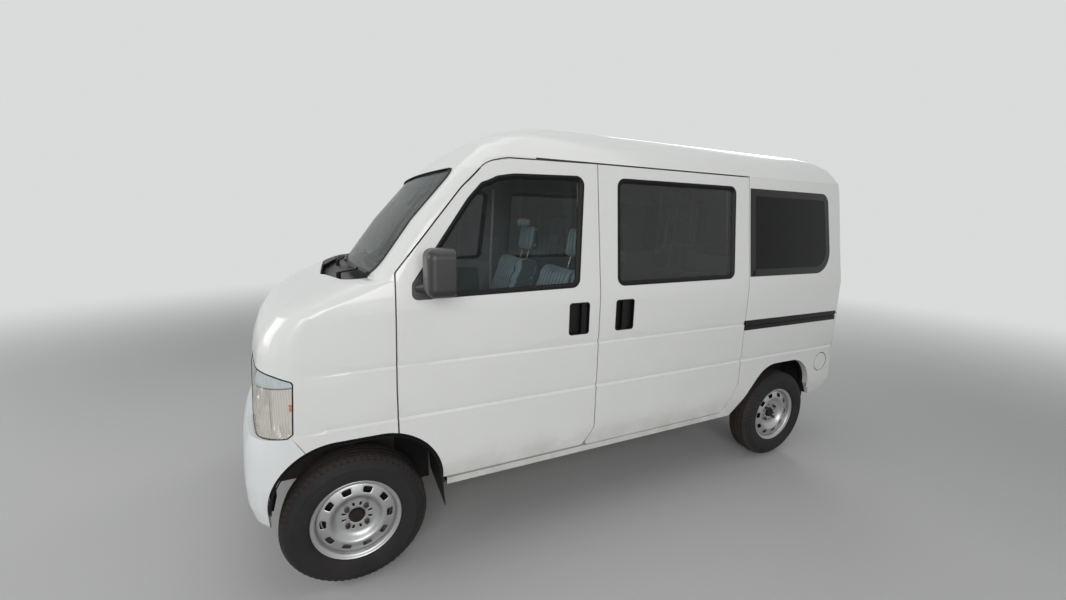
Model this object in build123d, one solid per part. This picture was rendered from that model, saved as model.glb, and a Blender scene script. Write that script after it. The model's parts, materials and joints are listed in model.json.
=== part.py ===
"""Kei van: one-box steel body, two front doors, two sliding doors, lifting tailgate.

Frame: +X forward, +Y to the van's left, +Z up, origin on the ground under the middle of the body.
All sizes are in millimetres. Each node of the van is one STEP file in parts/.
"""
from build123d import *
import math
import os

# Overall size and wheel positions
LENGTH = 3395
BODY_WIDTH = 1475
HEIGHT = 1880
WHEELBASE = 2420
FRONT_OVERHANG = 430
FRONT_TRACK = 1290
REAR_TRACK = 1305
FRONT_X = LENGTH / 2
REAR_X = -LENGTH / 2
FRONT_AXLE_X = FRONT_X - FRONT_OVERHANG
REAR_AXLE_X = FRONT_AXLE_X - WHEELBASE
HALF_WIDTH = BODY_WIDTH / 2

# Wheels and tyres: 145R12 on a 12 x 4.00 rim
TYRE_DIAMETER = 542
TYRE_WIDTH = 143
RIM_DIAMETER = 304.8
RIM_WIDTH = 102
RIM_FLANGE = 14
BOLT_CIRCLE = 100
STUD_HOLE = 14
HUB_BORE = 56
TYRE_RADIUS = TYRE_DIAMETER / 2
AXLE_Z = TYRE_RADIUS

# Panels and gaps
WALL = 50
ROOF_THICKNESS = 30
SHUT_GAP = 5.5
SEAT_GAP = 0.3
GLASS = 5
GLASS_DEPTH = 8
FRAME_DEPTH = 54
FRAME_LIP = 12
FRAME_COVER = 45
SEAL_IN = 14
SEAL_WIDTH = 12
NOSE_BOW = 2800

# Heights of the body's own lines
SILL_Z = 345
DOOR_BOTTOM_Z = 384
BELT_Z = 1105
GUTTER_Z = HEIGHT - 188
NOSE_BASE_Z = 676
BULKHEAD_X = FRONT_X - 218
COWL_Z = 1212
FENDER_TOP_Z = 1240

# Body sections from the sill up to the gutter. Columns: height, set back of the front from the bumper's
# front, set back of the rear, tuck of each side, front corner radius, rear corner radius
WALL_SECTIONS = [
    (SILL_Z, 72, 57, 21, 110, 70),
    (440, 57, 42, 2, 120, 80),
    (465, 52, 40, 0, 125, 85),
    (672, 47, 37, 0, 130, 90),
    (885, 60, 39, 0, 130, 90),
    (980, 75, 42, 0, 125, 90),
    (1040, 97, 44, 0, 125, 90),
    (BELT_Z - 10, 133, 45, 0, 130, 90),
    (1125, 177, 47, 3, 150, 90),
    (1160, 255, 50, 7, 180, 90),
    (COWL_Z - 12, 346, 53, 12.5, 190, 90),
    (COWL_Z, 452, 54, 14, 90, 90),
    (1430, 610, 69, 43, 70, 85),
    (GUTTER_Z - 55, 792, 85, 70, 70, 80),
    (GUTTER_Z, 860, 95, 77.5, 85, 80),
]
# Roof sections, same columns, with the first one a drop from the roof's top
ROOF_SECTIONS = [
    (143, 915, 106, 107, 110, 90),
    (102, 980, 118, 137.5, 150, 100),
    (65, 1050, 145, 190, 180, 120),
    (35, 1130, 190, 255, 210, 150),
    (14, 1250, 260, 345, 230, 170),
    (3, 1400, 360, 450, 200, 170),
    (0, 1600, 500, 560, 100, 100),
]

# Side view of the doors
FRONT_SHUT_X = FRONT_AXLE_X - 165
B_LINE_X = FRONT_AXLE_X - 1057
SLIDE_REAR_X = REAR_AXLE_X + 398
DOOR_TOP_Z = GUTTER_Z - 4
SLIDE_BOTTOM_Z = 379
WINDOW_SILL_Z = 1145
WINDOW_TOP_Z = GUTTER_Z - 62

# Seats
SEAT_Y = 335
SEAT_WIDTH = 470
CUSHION_TOP_Z = 820


def plan_section(height, front_back, rear_back, tuck, front_radius, rear_radius, inset):
    """One closed plan outline of the body: bowed front, straight sides, straight rear, round corners."""
    front = FRONT_X - front_back - inset
    rear = REAR_X + rear_back + inset
    half = HALF_WIDTH - tuck - inset
    corner = front - half ** 2 / (2 * NOSE_BOW)
    outline = [
        ThreePointArc((corner, -half), (front, 0), (corner, half)),
        Line((corner, half), (rear, half)),
        Line((rear, half), (rear, -half)),
        Line((rear, -half), (corner, -half)),
    ]
    face = make_face(outline)
    face = fillet(face.vertices().sort_by(Axis.X)[-2:], max(front_radius - inset, 8))
    face = fillet(face.vertices().group_by(Axis.X)[0], max(rear_radius - inset, 8))
    return Pos(0, 0, height) * face


def hull(inset=0.0, roof_drop=0.0, base=None):
    """The body's whole form, or the form inside a wall of the given thickness."""
    faces = []
    for index, (height, *columns) in enumerate(WALL_SECTIONS):
        if index == 0 and base is not None:
            height = base
        faces.append(plan_section(height, *columns, inset))
    for drop, *columns in ROOF_SECTIONS:
        faces.append(plan_section(HEIGHT - drop - roof_drop, *columns, inset))
    return loft(faces, ruled=True)


def rounded(points, radii):
    """A closed face on the XY plane through points, each corner with its own radius."""
    face = make_face(Polyline(*points, close=True))
    for point, radius in zip(points, radii):
        if radius:
            corner = face.vertices().sort_by_distance((point[0], point[1], 0))[0]
            face = fillet(corner, radius)
    return face


def along_y(face, low, high):
    """A face drawn in X and Z, pushed along Y from low to high."""
    placed = Plane(origin=(0, high, 0), x_dir=(1, 0, 0), z_dir=(0, -1, 0)) * face
    return extrude(placed, high - low)


def along_x(face, low, high):
    """A face drawn in Y and Z, pushed along X from low to high."""
    placed = Plane(origin=(low, 0, 0), x_dir=(0, 1, 0), z_dir=(1, 0, 0)) * face
    return extrude(placed, high - low)


def along_z(face, low, high):
    """A face drawn in X and Y, pushed up from low to high."""
    return extrude(Pos(0, 0, low) * face, high - low)


def block(low, high):
    """A box between two corners."""
    size = [high[i] - low[i] for i in range(3)]
    centre = [(high[i] + low[i]) / 2 for i in range(3)]
    return Pos(*centre) * Box(*size)


def grow(face, amount):
    """A face's outline moved outwards, or inwards for a negative amount."""
    return offset(face, amount, kind=Kind.INTERSECTION)


def mirrored(shape):
    """The same shape on the van's other side."""
    return mirror(shape, Plane.XZ)


def both_sides(shape):
    """A left-hand shape with its right-hand twin."""
    return [shape, mirrored(shape)]


def rod(start, end, radius):
    """A round bar from one point to another."""
    path = Vector(*end) - Vector(*start)
    plane = Plane(origin=start, z_dir=path)
    return extrude(plane * Circle(radius), path.length)


def solids_of(shape):
    """The solids in a shape or in a list of shapes."""
    if isinstance(shape, (list, tuple)):
        return [solid for item in shape for solid in solids_of(item)]
    return list(shape.solids())


def save(name, shape):
    """Write one node of the van to its STEP file."""
    solids = solids_of(shape)
    node = solids[0] if len(solids) == 1 else Compound(children=solids)
    node.label = name
    export_step(node, f"parts/{name}.step")


def biggest(shape):
    """The largest solid of a cut, without the chips beside it."""
    return shape.solids().sort_by(SortBy.VOLUME)[-1]


os.makedirs("parts", exist_ok=True)

# The body's forms at the depths that panels, glass and frames use
outer = hull()
wall_inside = hull(WALL, ROOF_THICKNESS, base=150)
frame_outside = hull(WALL + SHUT_GAP, ROOF_THICKNESS, base=SILL_Z)
frame_inside = hull(WALL + SHUT_GAP + FRAME_DEPTH, ROOF_THICKNESS, base=150)
seal_outside = hull(WALL + SEAT_GAP, ROOF_THICKNESS, base=SILL_Z)
floor_zone = hull(WALL + SEAT_GAP, ROOF_THICKNESS, base=150)
glass_layer = hull(GLASS_DEPTH) - hull(GLASS_DEPTH + GLASS)
flush_layer = outer - hull(GLASS)
flush_seat = outer - hull(GLASS + SEAT_GAP)
shell = outer - wall_inside
frame_layer = frame_outside - frame_inside
joined_layer = wall_inside - frame_inside
seal_layer = seal_outside - frame_outside

# Wheel arches in side view
front_arch = rounded(
    [(FRONT_AXLE_X - 334, 100), (FRONT_AXLE_X - 334, 634), (FRONT_AXLE_X + 288, 634), (FRONT_AXLE_X + 288, 100)],
    [0, 235, 235, 0],
)
rear_arch = rounded(
    [
        (REAR_AXLE_X + 600, 130),
        (REAR_AXLE_X + 436, 324),
        (REAR_AXLE_X + 176, 628),
        (REAR_AXLE_X - 243, 628),
        (REAR_AXLE_X - 243, 130),
    ],
    [0, 60, 200, 180, 0],
)
front_arch_cut = along_y(front_arch, -HALF_WIDTH - 50, HALF_WIDTH + 50)
rear_arch_cut = along_y(rear_arch, -HALF_WIDTH - 50, HALF_WIDTH + 50)

# Doors in side view, as openings in the body
front_door_opening = rounded(
    [
        (FRONT_SHUT_X - 190, DOOR_BOTTOM_Z),
        (FRONT_SHUT_X, DOOR_BOTTOM_Z),
        (FRONT_SHUT_X, 800),
        (FRONT_SHUT_X - 11, FENDER_TOP_Z),
        (FRONT_SHUT_X - 372, DOOR_TOP_Z - 8),
        (B_LINE_X, DOOR_TOP_Z),
        (B_LINE_X, DOOR_BOTTOM_Z + 90),
        (B_LINE_X + 58, DOOR_BOTTOM_Z),
    ],
    [0, 0, 0, 20, 90, 0, 60, 20],
)
slide_door_opening = rounded(
    [
        (SLIDE_REAR_X + 100, SLIDE_BOTTOM_Z),
        (SLIDE_REAR_X, SLIDE_BOTTOM_Z + 160),
        (SLIDE_REAR_X, DOOR_TOP_Z),
        (B_LINE_X, DOOR_TOP_Z),
        (B_LINE_X, DOOR_BOTTOM_Z + 90),
        (B_LINE_X + 58, SLIDE_BOTTOM_Z),
    ],
    [60, 60, 0, 0, 60, 20],
)
SIDE_IN = 100
SIDE_OUT = HALF_WIDTH + 20


def side_cut(face, amount=0.0):
    """The left side's cut along Y by an outline drawn in side view."""
    return along_y(grow(face, amount) if amount else face, SIDE_IN, SIDE_OUT)


front_door_face = grow(front_door_opening, -SHUT_GAP / 2)
slide_door_face = grow(slide_door_opening, -SHUT_GAP / 2)
front_door_cut = side_cut(front_door_opening, SHUT_GAP / 2)
slide_door_cut = side_cut(slide_door_opening, SHUT_GAP / 2)

# Side windows in side view
front_window = rounded(
    [
        (FRONT_SHUT_X - 66, WINDOW_SILL_Z - 7),
        (FRONT_SHUT_X - 68, WINDOW_SILL_Z + 53),
        (FRONT_SHUT_X - 346, WINDOW_TOP_Z - 38),
        (FRONT_SHUT_X - 412, WINDOW_TOP_Z - 11),
        (B_LINE_X + 68, WINDOW_TOP_Z),
        (B_LINE_X + 108, WINDOW_SILL_Z + 7),
    ],
    [22, 30, 40, 60, 40, 40],
)
slide_window = rounded(
    [
        (SLIDE_REAR_X + 114, WINDOW_SILL_Z + 8),
        (SLIDE_REAR_X + 99, WINDOW_TOP_Z + 3),
        (B_LINE_X - 105, WINDOW_TOP_Z + 2),
        (B_LINE_X - 94, WINDOW_SILL_Z + 3),
    ],
    [40, 40, 40, 40],
)
quarter_window = rounded(
    [
        (SLIDE_REAR_X - 9, WINDOW_SILL_Z + 13),
        (SLIDE_REAR_X - 9, WINDOW_TOP_Z),
        (REAR_X + 258, WINDOW_TOP_Z - 3),
        (REAR_X + 226, WINDOW_SILL_Z + 13),
    ],
    [0, 0, 60, 130],
)

# Door handles: black plastic dishes let into the doors, each with an upright pull bar
HANDLE_Z = 1012
HANDLE_HEIGHT = 146
HANDLE_WIDTH = 104
HANDLE_DEPTH = 18
HANDLE_RIM = 5
HANDLE_CORNER = 14
HANDLE_PROUD = 1.5
FRONT_HANDLE_X = B_LINE_X + 107
SLIDE_HANDLE_X = B_LINE_X - 140


def upright_plate(centre_x, centre_z, width, height, corner, low_y, high_y):
    """A plate with rounded corners on the van's side, between two distances from the middle plane."""
    face = RectangleRounded(width, height, corner)
    plane = Plane(origin=(centre_x, high_y, centre_z), x_dir=(1, 0, 0), z_dir=(0, -1, 0))
    return extrude(plane * face, high_y - low_y)


def handle_pocket(centre_x):
    """The hole that a handle's dish fills."""
    return upright_plate(
        centre_x, HANDLE_Z, HANDLE_WIDTH, HANDLE_HEIGHT, HANDLE_CORNER, HALF_WIDTH - HANDLE_DEPTH, HALF_WIDTH + 20
    )


def handle(centre_x, bar_offset):
    """A handle's dish with its pull bar across the mouth."""
    seat = SEAT_GAP
    dish = upright_plate(
        centre_x, HANDLE_Z, HANDLE_WIDTH - 2 * seat, HANDLE_HEIGHT - 2 * seat, HANDLE_CORNER,
        HALF_WIDTH - HANDLE_DEPTH + seat, HALF_WIDTH + HANDLE_PROUD,
    )
    dish -= upright_plate(
        centre_x, HANDLE_Z, HANDLE_WIDTH - 2 * HANDLE_RIM, HANDLE_HEIGHT - 2 * HANDLE_RIM, HANDLE_CORNER - 4,
        HALF_WIDTH - HANDLE_DEPTH + 3, HALF_WIDTH + 20,
    )
    dish += upright_plate(
        centre_x + bar_offset, HANDLE_Z, 26, HANDLE_HEIGHT - 2 * HANDLE_RIM + 2, 4,
        HALF_WIDTH - 7, HALF_WIDTH + HANDLE_PROUD + 1,
    )
    return dish


# Front doors: the whole thickness of the body's side, with the window cut and its pane seated
front_door = biggest(shell & side_cut(front_door_face))
front_door = biggest(front_door - front_arch_cut)
front_door -= side_cut(front_window)
front_door -= handle_pocket(FRONT_HANDLE_X)
front_pane = glass_layer & side_cut(front_window, -SEAT_GAP)
save("front_door_left", front_door)
save("front_door_right", mirrored(front_door))
save("front_door_glass_left", biggest(front_pane))
save("front_door_glass_right", mirrored(biggest(front_pane)))

# Sliding doors and their panes
slide_door = biggest(shell & side_cut(slide_door_face))
slide_door -= side_cut(slide_window)
slide_door -= handle_pocket(SLIDE_HANDLE_X)
slide_pane = biggest(glass_layer & side_cut(slide_window, -SEAT_GAP))
save("sliding_door_left", slide_door)
save("sliding_door_right", mirrored(slide_door))
save("sliding_door_glass", both_sides(slide_pane))

front_handle = handle(FRONT_HANDLE_X, -22)
save("door_handle_left", front_handle)
save("door_handle_right", mirrored(front_handle))
save("sliding_door_handles", both_sides(handle(SLIDE_HANDLE_X, 4)))

# Door mirrors: a rounded head on an arm from the window's front lower corner
MIRROR_X = FRONT_AXLE_X - 308
MIRROR_Y = HALF_WIDTH + 100
MIRROR_Z = 1251
MIRROR_WIDTH = 126
MIRROR_HEIGHT = 170
MIRROR_DEPTH = 94
MIRROR_ROUND = 30
half_w = MIRROR_WIDTH / 2
mirror_head = extrude(
    Plane(origin=(MIRROR_X - MIRROR_DEPTH / 2, MIRROR_Y, MIRROR_Z), x_dir=(0, 1, 0), z_dir=(1, 0, 0))
    * RectangleRounded(MIRROR_WIDTH, MIRROR_HEIGHT, MIRROR_ROUND + 4),
    MIRROR_DEPTH,
)
mirror_head = fillet(mirror_head.faces().sort_by(Axis.X)[-1].edges(), MIRROR_ROUND)
MIRROR_FOOT_X = FRONT_SHUT_X - 88
MIRROR_FOOT_Z = WINDOW_SILL_Z + 38
foot_side = rounded(
    [
        (FRONT_SHUT_X - 67, WINDOW_SILL_Z - 6),
        (FRONT_SHUT_X - 69, WINDOW_SILL_Z + 52),
        (FRONT_SHUT_X - 138, WINDOW_SILL_Z + 142),
        (FRONT_SHUT_X - 138, WINDOW_SILL_Z - 6),
    ],
    [20, 20, 0, 0],
)
FOOT_PROUD = 6
mirror_foot = along_y(grow(foot_side, -SEAT_GAP), SIDE_IN, HALF_WIDTH + FOOT_PROUD + 2)
mirror_foot = (mirror_foot & hull(-FOOT_PROUD)) - hull(GLASS_DEPTH - SEAT_GAP)
mirror_arm = rod((MIRROR_FOOT_X, HALF_WIDTH - 4, MIRROR_FOOT_Z),
                 (MIRROR_X + 12, MIRROR_Y - half_w + 14, MIRROR_FOOT_Z + 14), 15)
mirror_left = mirror_head + biggest(mirror_foot) + mirror_arm
save("mirror_left", mirror_left)
save("mirror_right", mirrored(mirror_left))

# Roof with its rails and the header over the windshield
HEADER_Z = GUTTER_Z - 55
HEADER_HALF = 590
roof_zone = block((REAR_X - 50, -900, GUTTER_Z), (FRONT_X, 900, HEIGHT + 50))
roof_panel = (outer - frame_inside) & roof_zone
header_zone = block((FRONT_X - 960, -HEADER_HALF, HEADER_Z), (FRONT_X, HEADER_HALF, GUTTER_Z))
roof_panel += (shell & header_zone)

# Tailgate opening in rear view
TAILGATE_BASE_Z = 628
TAILGATE_TOP_Z = HEIGHT - 112
TAILGATE_LOW_HALF = 632
TAILGATE_TOP_HALF = 560
tailgate_opening = rounded(
    [
        (-TAILGATE_LOW_HALF, TAILGATE_BASE_Z),
        (-TAILGATE_LOW_HALF, BELT_Z),
        (-TAILGATE_TOP_HALF, TAILGATE_TOP_Z),
        (TAILGATE_TOP_HALF, TAILGATE_TOP_Z),
        (TAILGATE_LOW_HALF, BELT_Z),
        (TAILGATE_LOW_HALF, TAILGATE_BASE_Z),
    ],
    [30, 0, 60, 60, 0, 30],
)
rear_window = rounded(
    [(-545, 1175), (-490, 1640), (490, 1640), (545, 1175)],
    [50, 50, 50, 50],
)
tailgate_cut = along_x(tailgate_opening, REAR_X - 50, REAR_X + 300)
tailgate = biggest(shell & along_x(grow(tailgate_opening, -SHUT_GAP), REAR_X - 50, REAR_X + 300))
tailgate -= along_x(rear_window, REAR_X - 50, REAR_X + 300)
TAILGATE_HEAD_DEPTH = 152
TAILGATE_HEAD_DROP = 75
tailgate -= block(
    (REAR_X + TAILGATE_HEAD_DEPTH, -900, TAILGATE_TOP_Z - TAILGATE_HEAD_DROP),
    (REAR_X + 300, 900, TAILGATE_TOP_Z + 10),
)
REAR_PLATE_Z = 985
for side in (1, -1):
    hole_y = side * 105
    tailgate -= rod((REAR_X, hole_y, REAR_PLATE_Z), (REAR_X + 120, hole_y, REAR_PLATE_Z), 3.5)
tailgate_pane = glass_layer & along_x(grow(rear_window, -SEAT_GAP), REAR_X - 50, REAR_X + 300)
save("tailgate", tailgate)
save("tailgate_glass", biggest(tailgate_pane))
roof_panel = biggest(roof_panel - tailgate_cut)
save("roof_panel", roof_panel)

# Windshield in front view, flush with the body
windshield_outline = rounded(
    [(-642, COWL_Z + 8), (-622, HEADER_Z - 3), (622, HEADER_Z - 3), (642, COWL_Z + 8)],
    [70, 50, 50, 70],
)
WINDSHIELD_BACK = FRONT_X - 1000
windshield_cut = along_x(windshield_outline, WINDSHIELD_BACK, FRONT_X)
windshield = flush_layer & along_x(grow(windshield_outline, -SEAT_GAP), WINDSHIELD_BACK, FRONT_X)
save("windshield", biggest(windshield))

# Quarter panels behind the sliding doors, with the fuel pocket on the left
FUEL_LID_X = REAR_AXLE_X - 340
FUEL_LID_Z = 585
FUEL_LID_RADIUS = 56
FUEL_LID_THICKNESS = 5
FUEL_POCKET_DEPTH = 34
QUARTER_LIP = 6
RAIL_Z = 885
RAIL_HEIGHT = 57
RAIL_DEPTH = 9
quarter_zone = block((REAR_X - 50, 0, SILL_Z - 10), (SLIDE_REAR_X - SHUT_GAP / 2, 900, GUTTER_Z))
quarter_edge = rounded(
    [
        (REAR_AXLE_X - 243, 300),
        (REAR_AXLE_X - 243, 359),
        (REAR_AXLE_X - 392, 400),
        (REAR_X + 78, 460),
        (REAR_X - 50, 460),
        (REAR_X - 50, 300),
    ],
    [0, 0, 60, 0, 0, 0],
)
REAR_BUMPER_REACH = 105
REAR_BUMPER_TOP_Z = TAILGATE_BASE_Z - SHUT_GAP
quarter = (shell & quarter_zone) - slide_door_cut - rear_arch_cut - tailgate_cut
quarter -= side_cut(quarter_edge)
quarter -= block((REAR_X - 50, -1, 100), (REAR_X + REAR_BUMPER_REACH, 900, REAR_BUMPER_TOP_Z + SEAT_GAP))
quarter -= block((REAR_X - 50, -1, 100), (REAR_X + 200, TAILGATE_LOW_HALF - 30, TAILGATE_BASE_Z + 1))
lamp_inboard = TAILGATE_LOW_HALF + 14
lamp_back = rounded([(lamp_inboard, 660), (lamp_inboard, 900), (900, 900), (900, 660)], [8, 8, 0, 0])
quarter -= flush_seat & along_x(lamp_back, REAR_X - 20, REAR_X + 95)
tyre_pocket = Plane(origin=(REAR_AXLE_X, 500, AXLE_Z), z_dir=(0, 1, 0)) * Circle(TYRE_RADIUS + 30)
quarter -= extrude(tyre_pocket, HALF_WIDTH - QUARTER_LIP - 500)
quarter -= side_cut(quarter_window, -35)
quarter -= flush_seat & side_cut(quarter_window, SEAT_GAP)
rail_start = REAR_X + 122
rail_end = SLIDE_REAR_X - SHUT_GAP
rail_low = (rail_start, HALF_WIDTH - RAIL_DEPTH, RAIL_Z - RAIL_HEIGHT / 2)
quarter -= block(rail_low, (rail_end + 20, HALF_WIDTH + 10, RAIL_Z + RAIL_HEIGHT / 2))
quarter = biggest(quarter)
fuel_plane = Plane(origin=(FUEL_LID_X, HALF_WIDTH - FUEL_POCKET_DEPTH, FUEL_LID_Z), z_dir=(0, 1, 0))
quarter_left = quarter - extrude(fuel_plane * Circle(FUEL_LID_RADIUS + SHUT_GAP), FUEL_POCKET_DEPTH + 10)
quarter_left += extrude(fuel_plane * Circle(28), FUEL_POCKET_DEPTH - 14)
quarter_left += extrude(fuel_plane * Pos(-42, 0) * Circle(4), FUEL_POCKET_DEPTH - FUEL_LID_THICKNESS - SEAT_GAP)
save("quarter_panels", [quarter_left, mirrored(quarter)])
quarter_pane = biggest(flush_layer & side_cut(quarter_window))
save("quarter_glass", both_sides(quarter_pane))
lid_plane = Plane(origin=(FUEL_LID_X, HALF_WIDTH - FUEL_LID_THICKNESS, FUEL_LID_Z), z_dir=(0, 1, 0))
save("fuel_lid", extrude(lid_plane * Circle(FUEL_LID_RADIUS), FUEL_LID_THICKNESS))
gap = SEAT_GAP
slide_rail = block((rail_start + gap, HALF_WIDTH - RAIL_DEPTH + gap, rail_low[2] + gap),
                   (rail_end, HALF_WIDTH + 1, RAIL_Z + RAIL_HEIGHT / 2 - gap))
slide_rail -= block(
    (rail_start - 5, HALF_WIDTH - RAIL_DEPTH + 3, RAIL_Z - 8), (rail_end + 5, HALF_WIDTH + 5, RAIL_Z + 6)
)
save("slide_rails", both_sides(slide_rail))

# Front wheelhouse outline in side view, inboard of the arch
wheelhouse = rounded(
    [(FRONT_AXLE_X - 350, 200), (FRONT_AXLE_X - 350, 640), (FRONT_AXLE_X + 345, 640), (FRONT_AXLE_X + 345, 200)],
    [0, 200, 200, 0],
)
WHEELHOUSE_IN = 397
WHEELHOUSE_SKIN = 8
WHEELHOUSE_OUT = HALF_WIDTH - WALL - SHUT_GAP - SEAT_GAP

# Side frames inside the doors: pillars, roof rail and sill in one ring, with the outer windshield pillar
ring_outside = grow(front_door_opening, FRAME_LIP) + grow(slide_door_opening, FRAME_LIP)
door_gaps = grow(front_door_opening, SHUT_GAP / 2) + grow(slide_door_opening, SHUT_GAP / 2)
front_way = grow(front_door_opening, -FRAME_COVER)
slide_way = grow(slide_door_opening, -FRAME_COVER)
gutter_limit = block((REAR_X, 0, SILL_Z), (FRONT_X, 900, GUTTER_Z))
side_frame = joined_layer & side_cut(ring_outside) & gutter_limit
side_frame -= side_cut(door_gaps)
side_frame += (frame_layer & side_cut(door_gaps) & gutter_limit)
side_frame += (outer - frame_inside) & block(
    (SLIDE_REAR_X, 0, SILL_Z), (FRONT_SHUT_X - 100, 900, SLIDE_BOTTOM_Z - SHUT_GAP / 2)
)
pillar_zone = block((B_LINE_X + 300, 0, FENDER_TOP_Z), (FRONT_X, 900, GUTTER_Z))
pillar = ((outer - frame_inside) & pillar_zone) - front_door_cut
pillar -= block((FRONT_X - 960, 0, HEADER_Z), (FRONT_X, HEADER_HALF, GUTTER_Z))
side_frame += pillar
side_frame -= windshield_cut
side_frame -= side_cut(front_way)
side_frame -= side_cut(slide_way)
side_frame -= rear_arch_cut
side_frame -= side_cut(wheelhouse)
side_frame = biggest(side_frame)
save("side_frames", both_sides(side_frame))


def seal_ring(opening, layer):
    """A rubber seal between the frame and a shut door, just clear of the door."""
    outside = grow(opening, -SEAL_IN)
    inside = grow(opening, -SEAL_IN - SEAL_WIDTH)
    return biggest(layer & side_cut(outside - inside) & gutter_limit)


SWING_GAP = 2.6
swing_seal_layer = hull(WALL + SWING_GAP, ROOF_THICKNESS, base=SILL_Z) - frame_outside
front_seal = seal_ring(front_door_opening, swing_seal_layer) - side_cut(wheelhouse)
seals = [front_seal, seal_ring(slide_door_opening, seal_layer)]
save("door_seals", [side for seal in seals for side in both_sides(seal)])

# Rear frame round the tailgate, with its seal
rear_span = (REAR_X - 50, REAR_X + 300)
tail_gap = along_x(grow(tailgate_opening, SEAT_GAP), *rear_span)
rear_frame = (joined_layer & along_x(grow(tailgate_opening, FRAME_LIP), *rear_span)) - tail_gap
rear_frame += frame_layer & tail_gap
rear_frame -= along_x(grow(tailgate_opening, -FRAME_COVER), *rear_span)
rear_frame &= block((REAR_X, -900, TAILGATE_BASE_Z - 30), (REAR_X + 260, 900, GUTTER_Z - SEAT_GAP))
save("rear_frame", biggest(rear_frame))
tail_seal = along_x(grow(tailgate_opening, -SEAL_IN) - grow(tailgate_opening, -SEAL_IN - SEAL_WIDTH), *rear_span)
save("tailgate_seal", biggest(seal_layer & tail_seal))

# Nose with both front fenders, the service lid between the lamps and the cowl opening
LID_HALF = 395
LID_THICKNESS = 20
LID_RIB_IN = 32
LID_BASE_Z = 705
LID_TOP_Z = 1055
lid_opening = rounded(
    [(-LID_HALF, LID_BASE_Z), (-LID_HALF - 30, LID_TOP_Z), (LID_HALF + 30, LID_TOP_Z), (LID_HALF, LID_BASE_Z)],
    [30, 30, 30, 30],
)
lid_span = (FRONT_X - 260, FRONT_X + 20)
cowl_opening = rounded(
    [
        (FRONT_X - 560, -615),
        (FRONT_X - 440, -600),
        (FRONT_X - 348, -300),
        (FRONT_X - 348, 300),
        (FRONT_X - 440, 600),
        (FRONT_X - 560, 615),
    ],
    [0, 90, 200, 200, 90, 0],
)
lamp_side = rounded(
    [
        (FRONT_X - 258, 880),
        (FRONT_X - 245, 690),
        (FRONT_X - 225, NOSE_BASE_Z),
        (FRONT_X + 20, NOSE_BASE_Z),
        (FRONT_X + 20, 975),
        (FRONT_X - 200, 905),
    ],
    [15, 10, 0, 0, 0, 40],
)
lamp_front = rounded([(478, 600), (462, 800), (492, 990), (900, 990), (900, 600)], [0, 60, 0, 0, 0])
lamp_zone = along_y(lamp_side, 400, 900) & along_x(lamp_front, FRONT_X - 400, FRONT_X + 20)
bumper_side = rounded(
    [
        (FRONT_AXLE_X + 146, 600),
        (FRONT_AXLE_X + 190, NOSE_BASE_Z),
        (FRONT_X + 20, NOSE_BASE_Z),
        (FRONT_X + 20, 200),
        (FRONT_AXLE_X + 146, 200),
    ],
    [0, 0, 0, 0, 0],
)
bumper_zone = along_y(bumper_side, -900, 900)
nose_zone = block((FRONT_SHUT_X - 60, -900, 580), (FRONT_X, 900, FENDER_TOP_Z))
nose = shell & nose_zone
nose = nose - front_door_cut - mirrored(front_door_cut) - front_arch_cut - windshield_cut - bumper_zone
nose -= along_z(cowl_opening, 1100, COWL_Z + 60)
nose -= lamp_zone
nose -= mirrored(lamp_zone)
nose -= along_x(grow(lid_opening, SHUT_GAP), *lid_span)
nose = biggest(nose)
lid_ring = (joined_layer & along_x(grow(lid_opening, SHUT_GAP + FRAME_LIP), *lid_span))
lid_ring -= along_x(grow(lid_opening, SHUT_GAP), *lid_span)
lid_ring += frame_layer & along_x(grow(lid_opening, SHUT_GAP), *lid_span)
lid_inside = hull(LID_THICKNESS)
lid_ring += (hull(LID_THICKNESS + SEAT_GAP) - frame_outside) & along_x(grow(lid_opening, -LID_RIB_IN), *lid_span)
lid_ring -= along_x(grow(lid_opening, -LID_RIB_IN - SEAL_WIDTH), *lid_span)
lid_ring = biggest(lid_ring & block((BULKHEAD_X + SEAT_GAP, -900, 600), (FRONT_X, 900, LID_TOP_Z + 30)))
nose += lid_ring
save("nose_panel", biggest(nose))
front_lid = biggest((outer - lid_inside) & along_x(lid_opening, *lid_span))
save("front_lid", front_lid)
headlamp = biggest(shell & along_y(grow(lamp_side, -SEAT_GAP), 400, 900)
                   & along_x(grow(lamp_front, -SEAT_GAP), FRONT_X - 400, FRONT_X + 20))
save("headlamps", both_sides(headlamp))

# Cowl panel under the windshield's lower edge
cowl_profile = rounded(
    [
        (FRONT_X - 352, 1135),
        (FRONT_X - 352, 1150),
        (FRONT_X - 430, 1178),
        (FRONT_X - 530, 1196),
        (FRONT_X - 530, 1180),
        (FRONT_X - 430, 1160),
    ],
    [0, 0, 30, 0, 0, 30],
)
cowl = along_y(cowl_profile, -600, 600) & along_z(grow(cowl_opening, -SEAT_GAP), 1100, COWL_Z + 60)
WIPER_X = FRONT_X - 420
WIPER_PIVOTS = [(330, 280), (-235, 300)]
for pivot_y, _ in WIPER_PIVOTS:
    cowl -= rod((WIPER_X, pivot_y, 1100), (WIPER_X, pivot_y, 1250), 9 + SEAT_GAP)
save("cowl_grille", biggest(cowl))

# Front bumper. Columns: height, set back of the front, tuck of each side, corner radius
FRONT_BUMPER_WALL = 25
FRONT_PLATE_Z = 520
FRONT_BUMPER = [
    (300, 45, 24, 150),
    (335, 18, 10, 150),
    (400, 3, 2, 150),
    (480, 0, 0, 150),
    (600, 8, 0, 150),
    (650, 16, 0, 150),
    (NOSE_BASE_Z - SEAT_GAP, 28, 0, 145),
]


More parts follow.
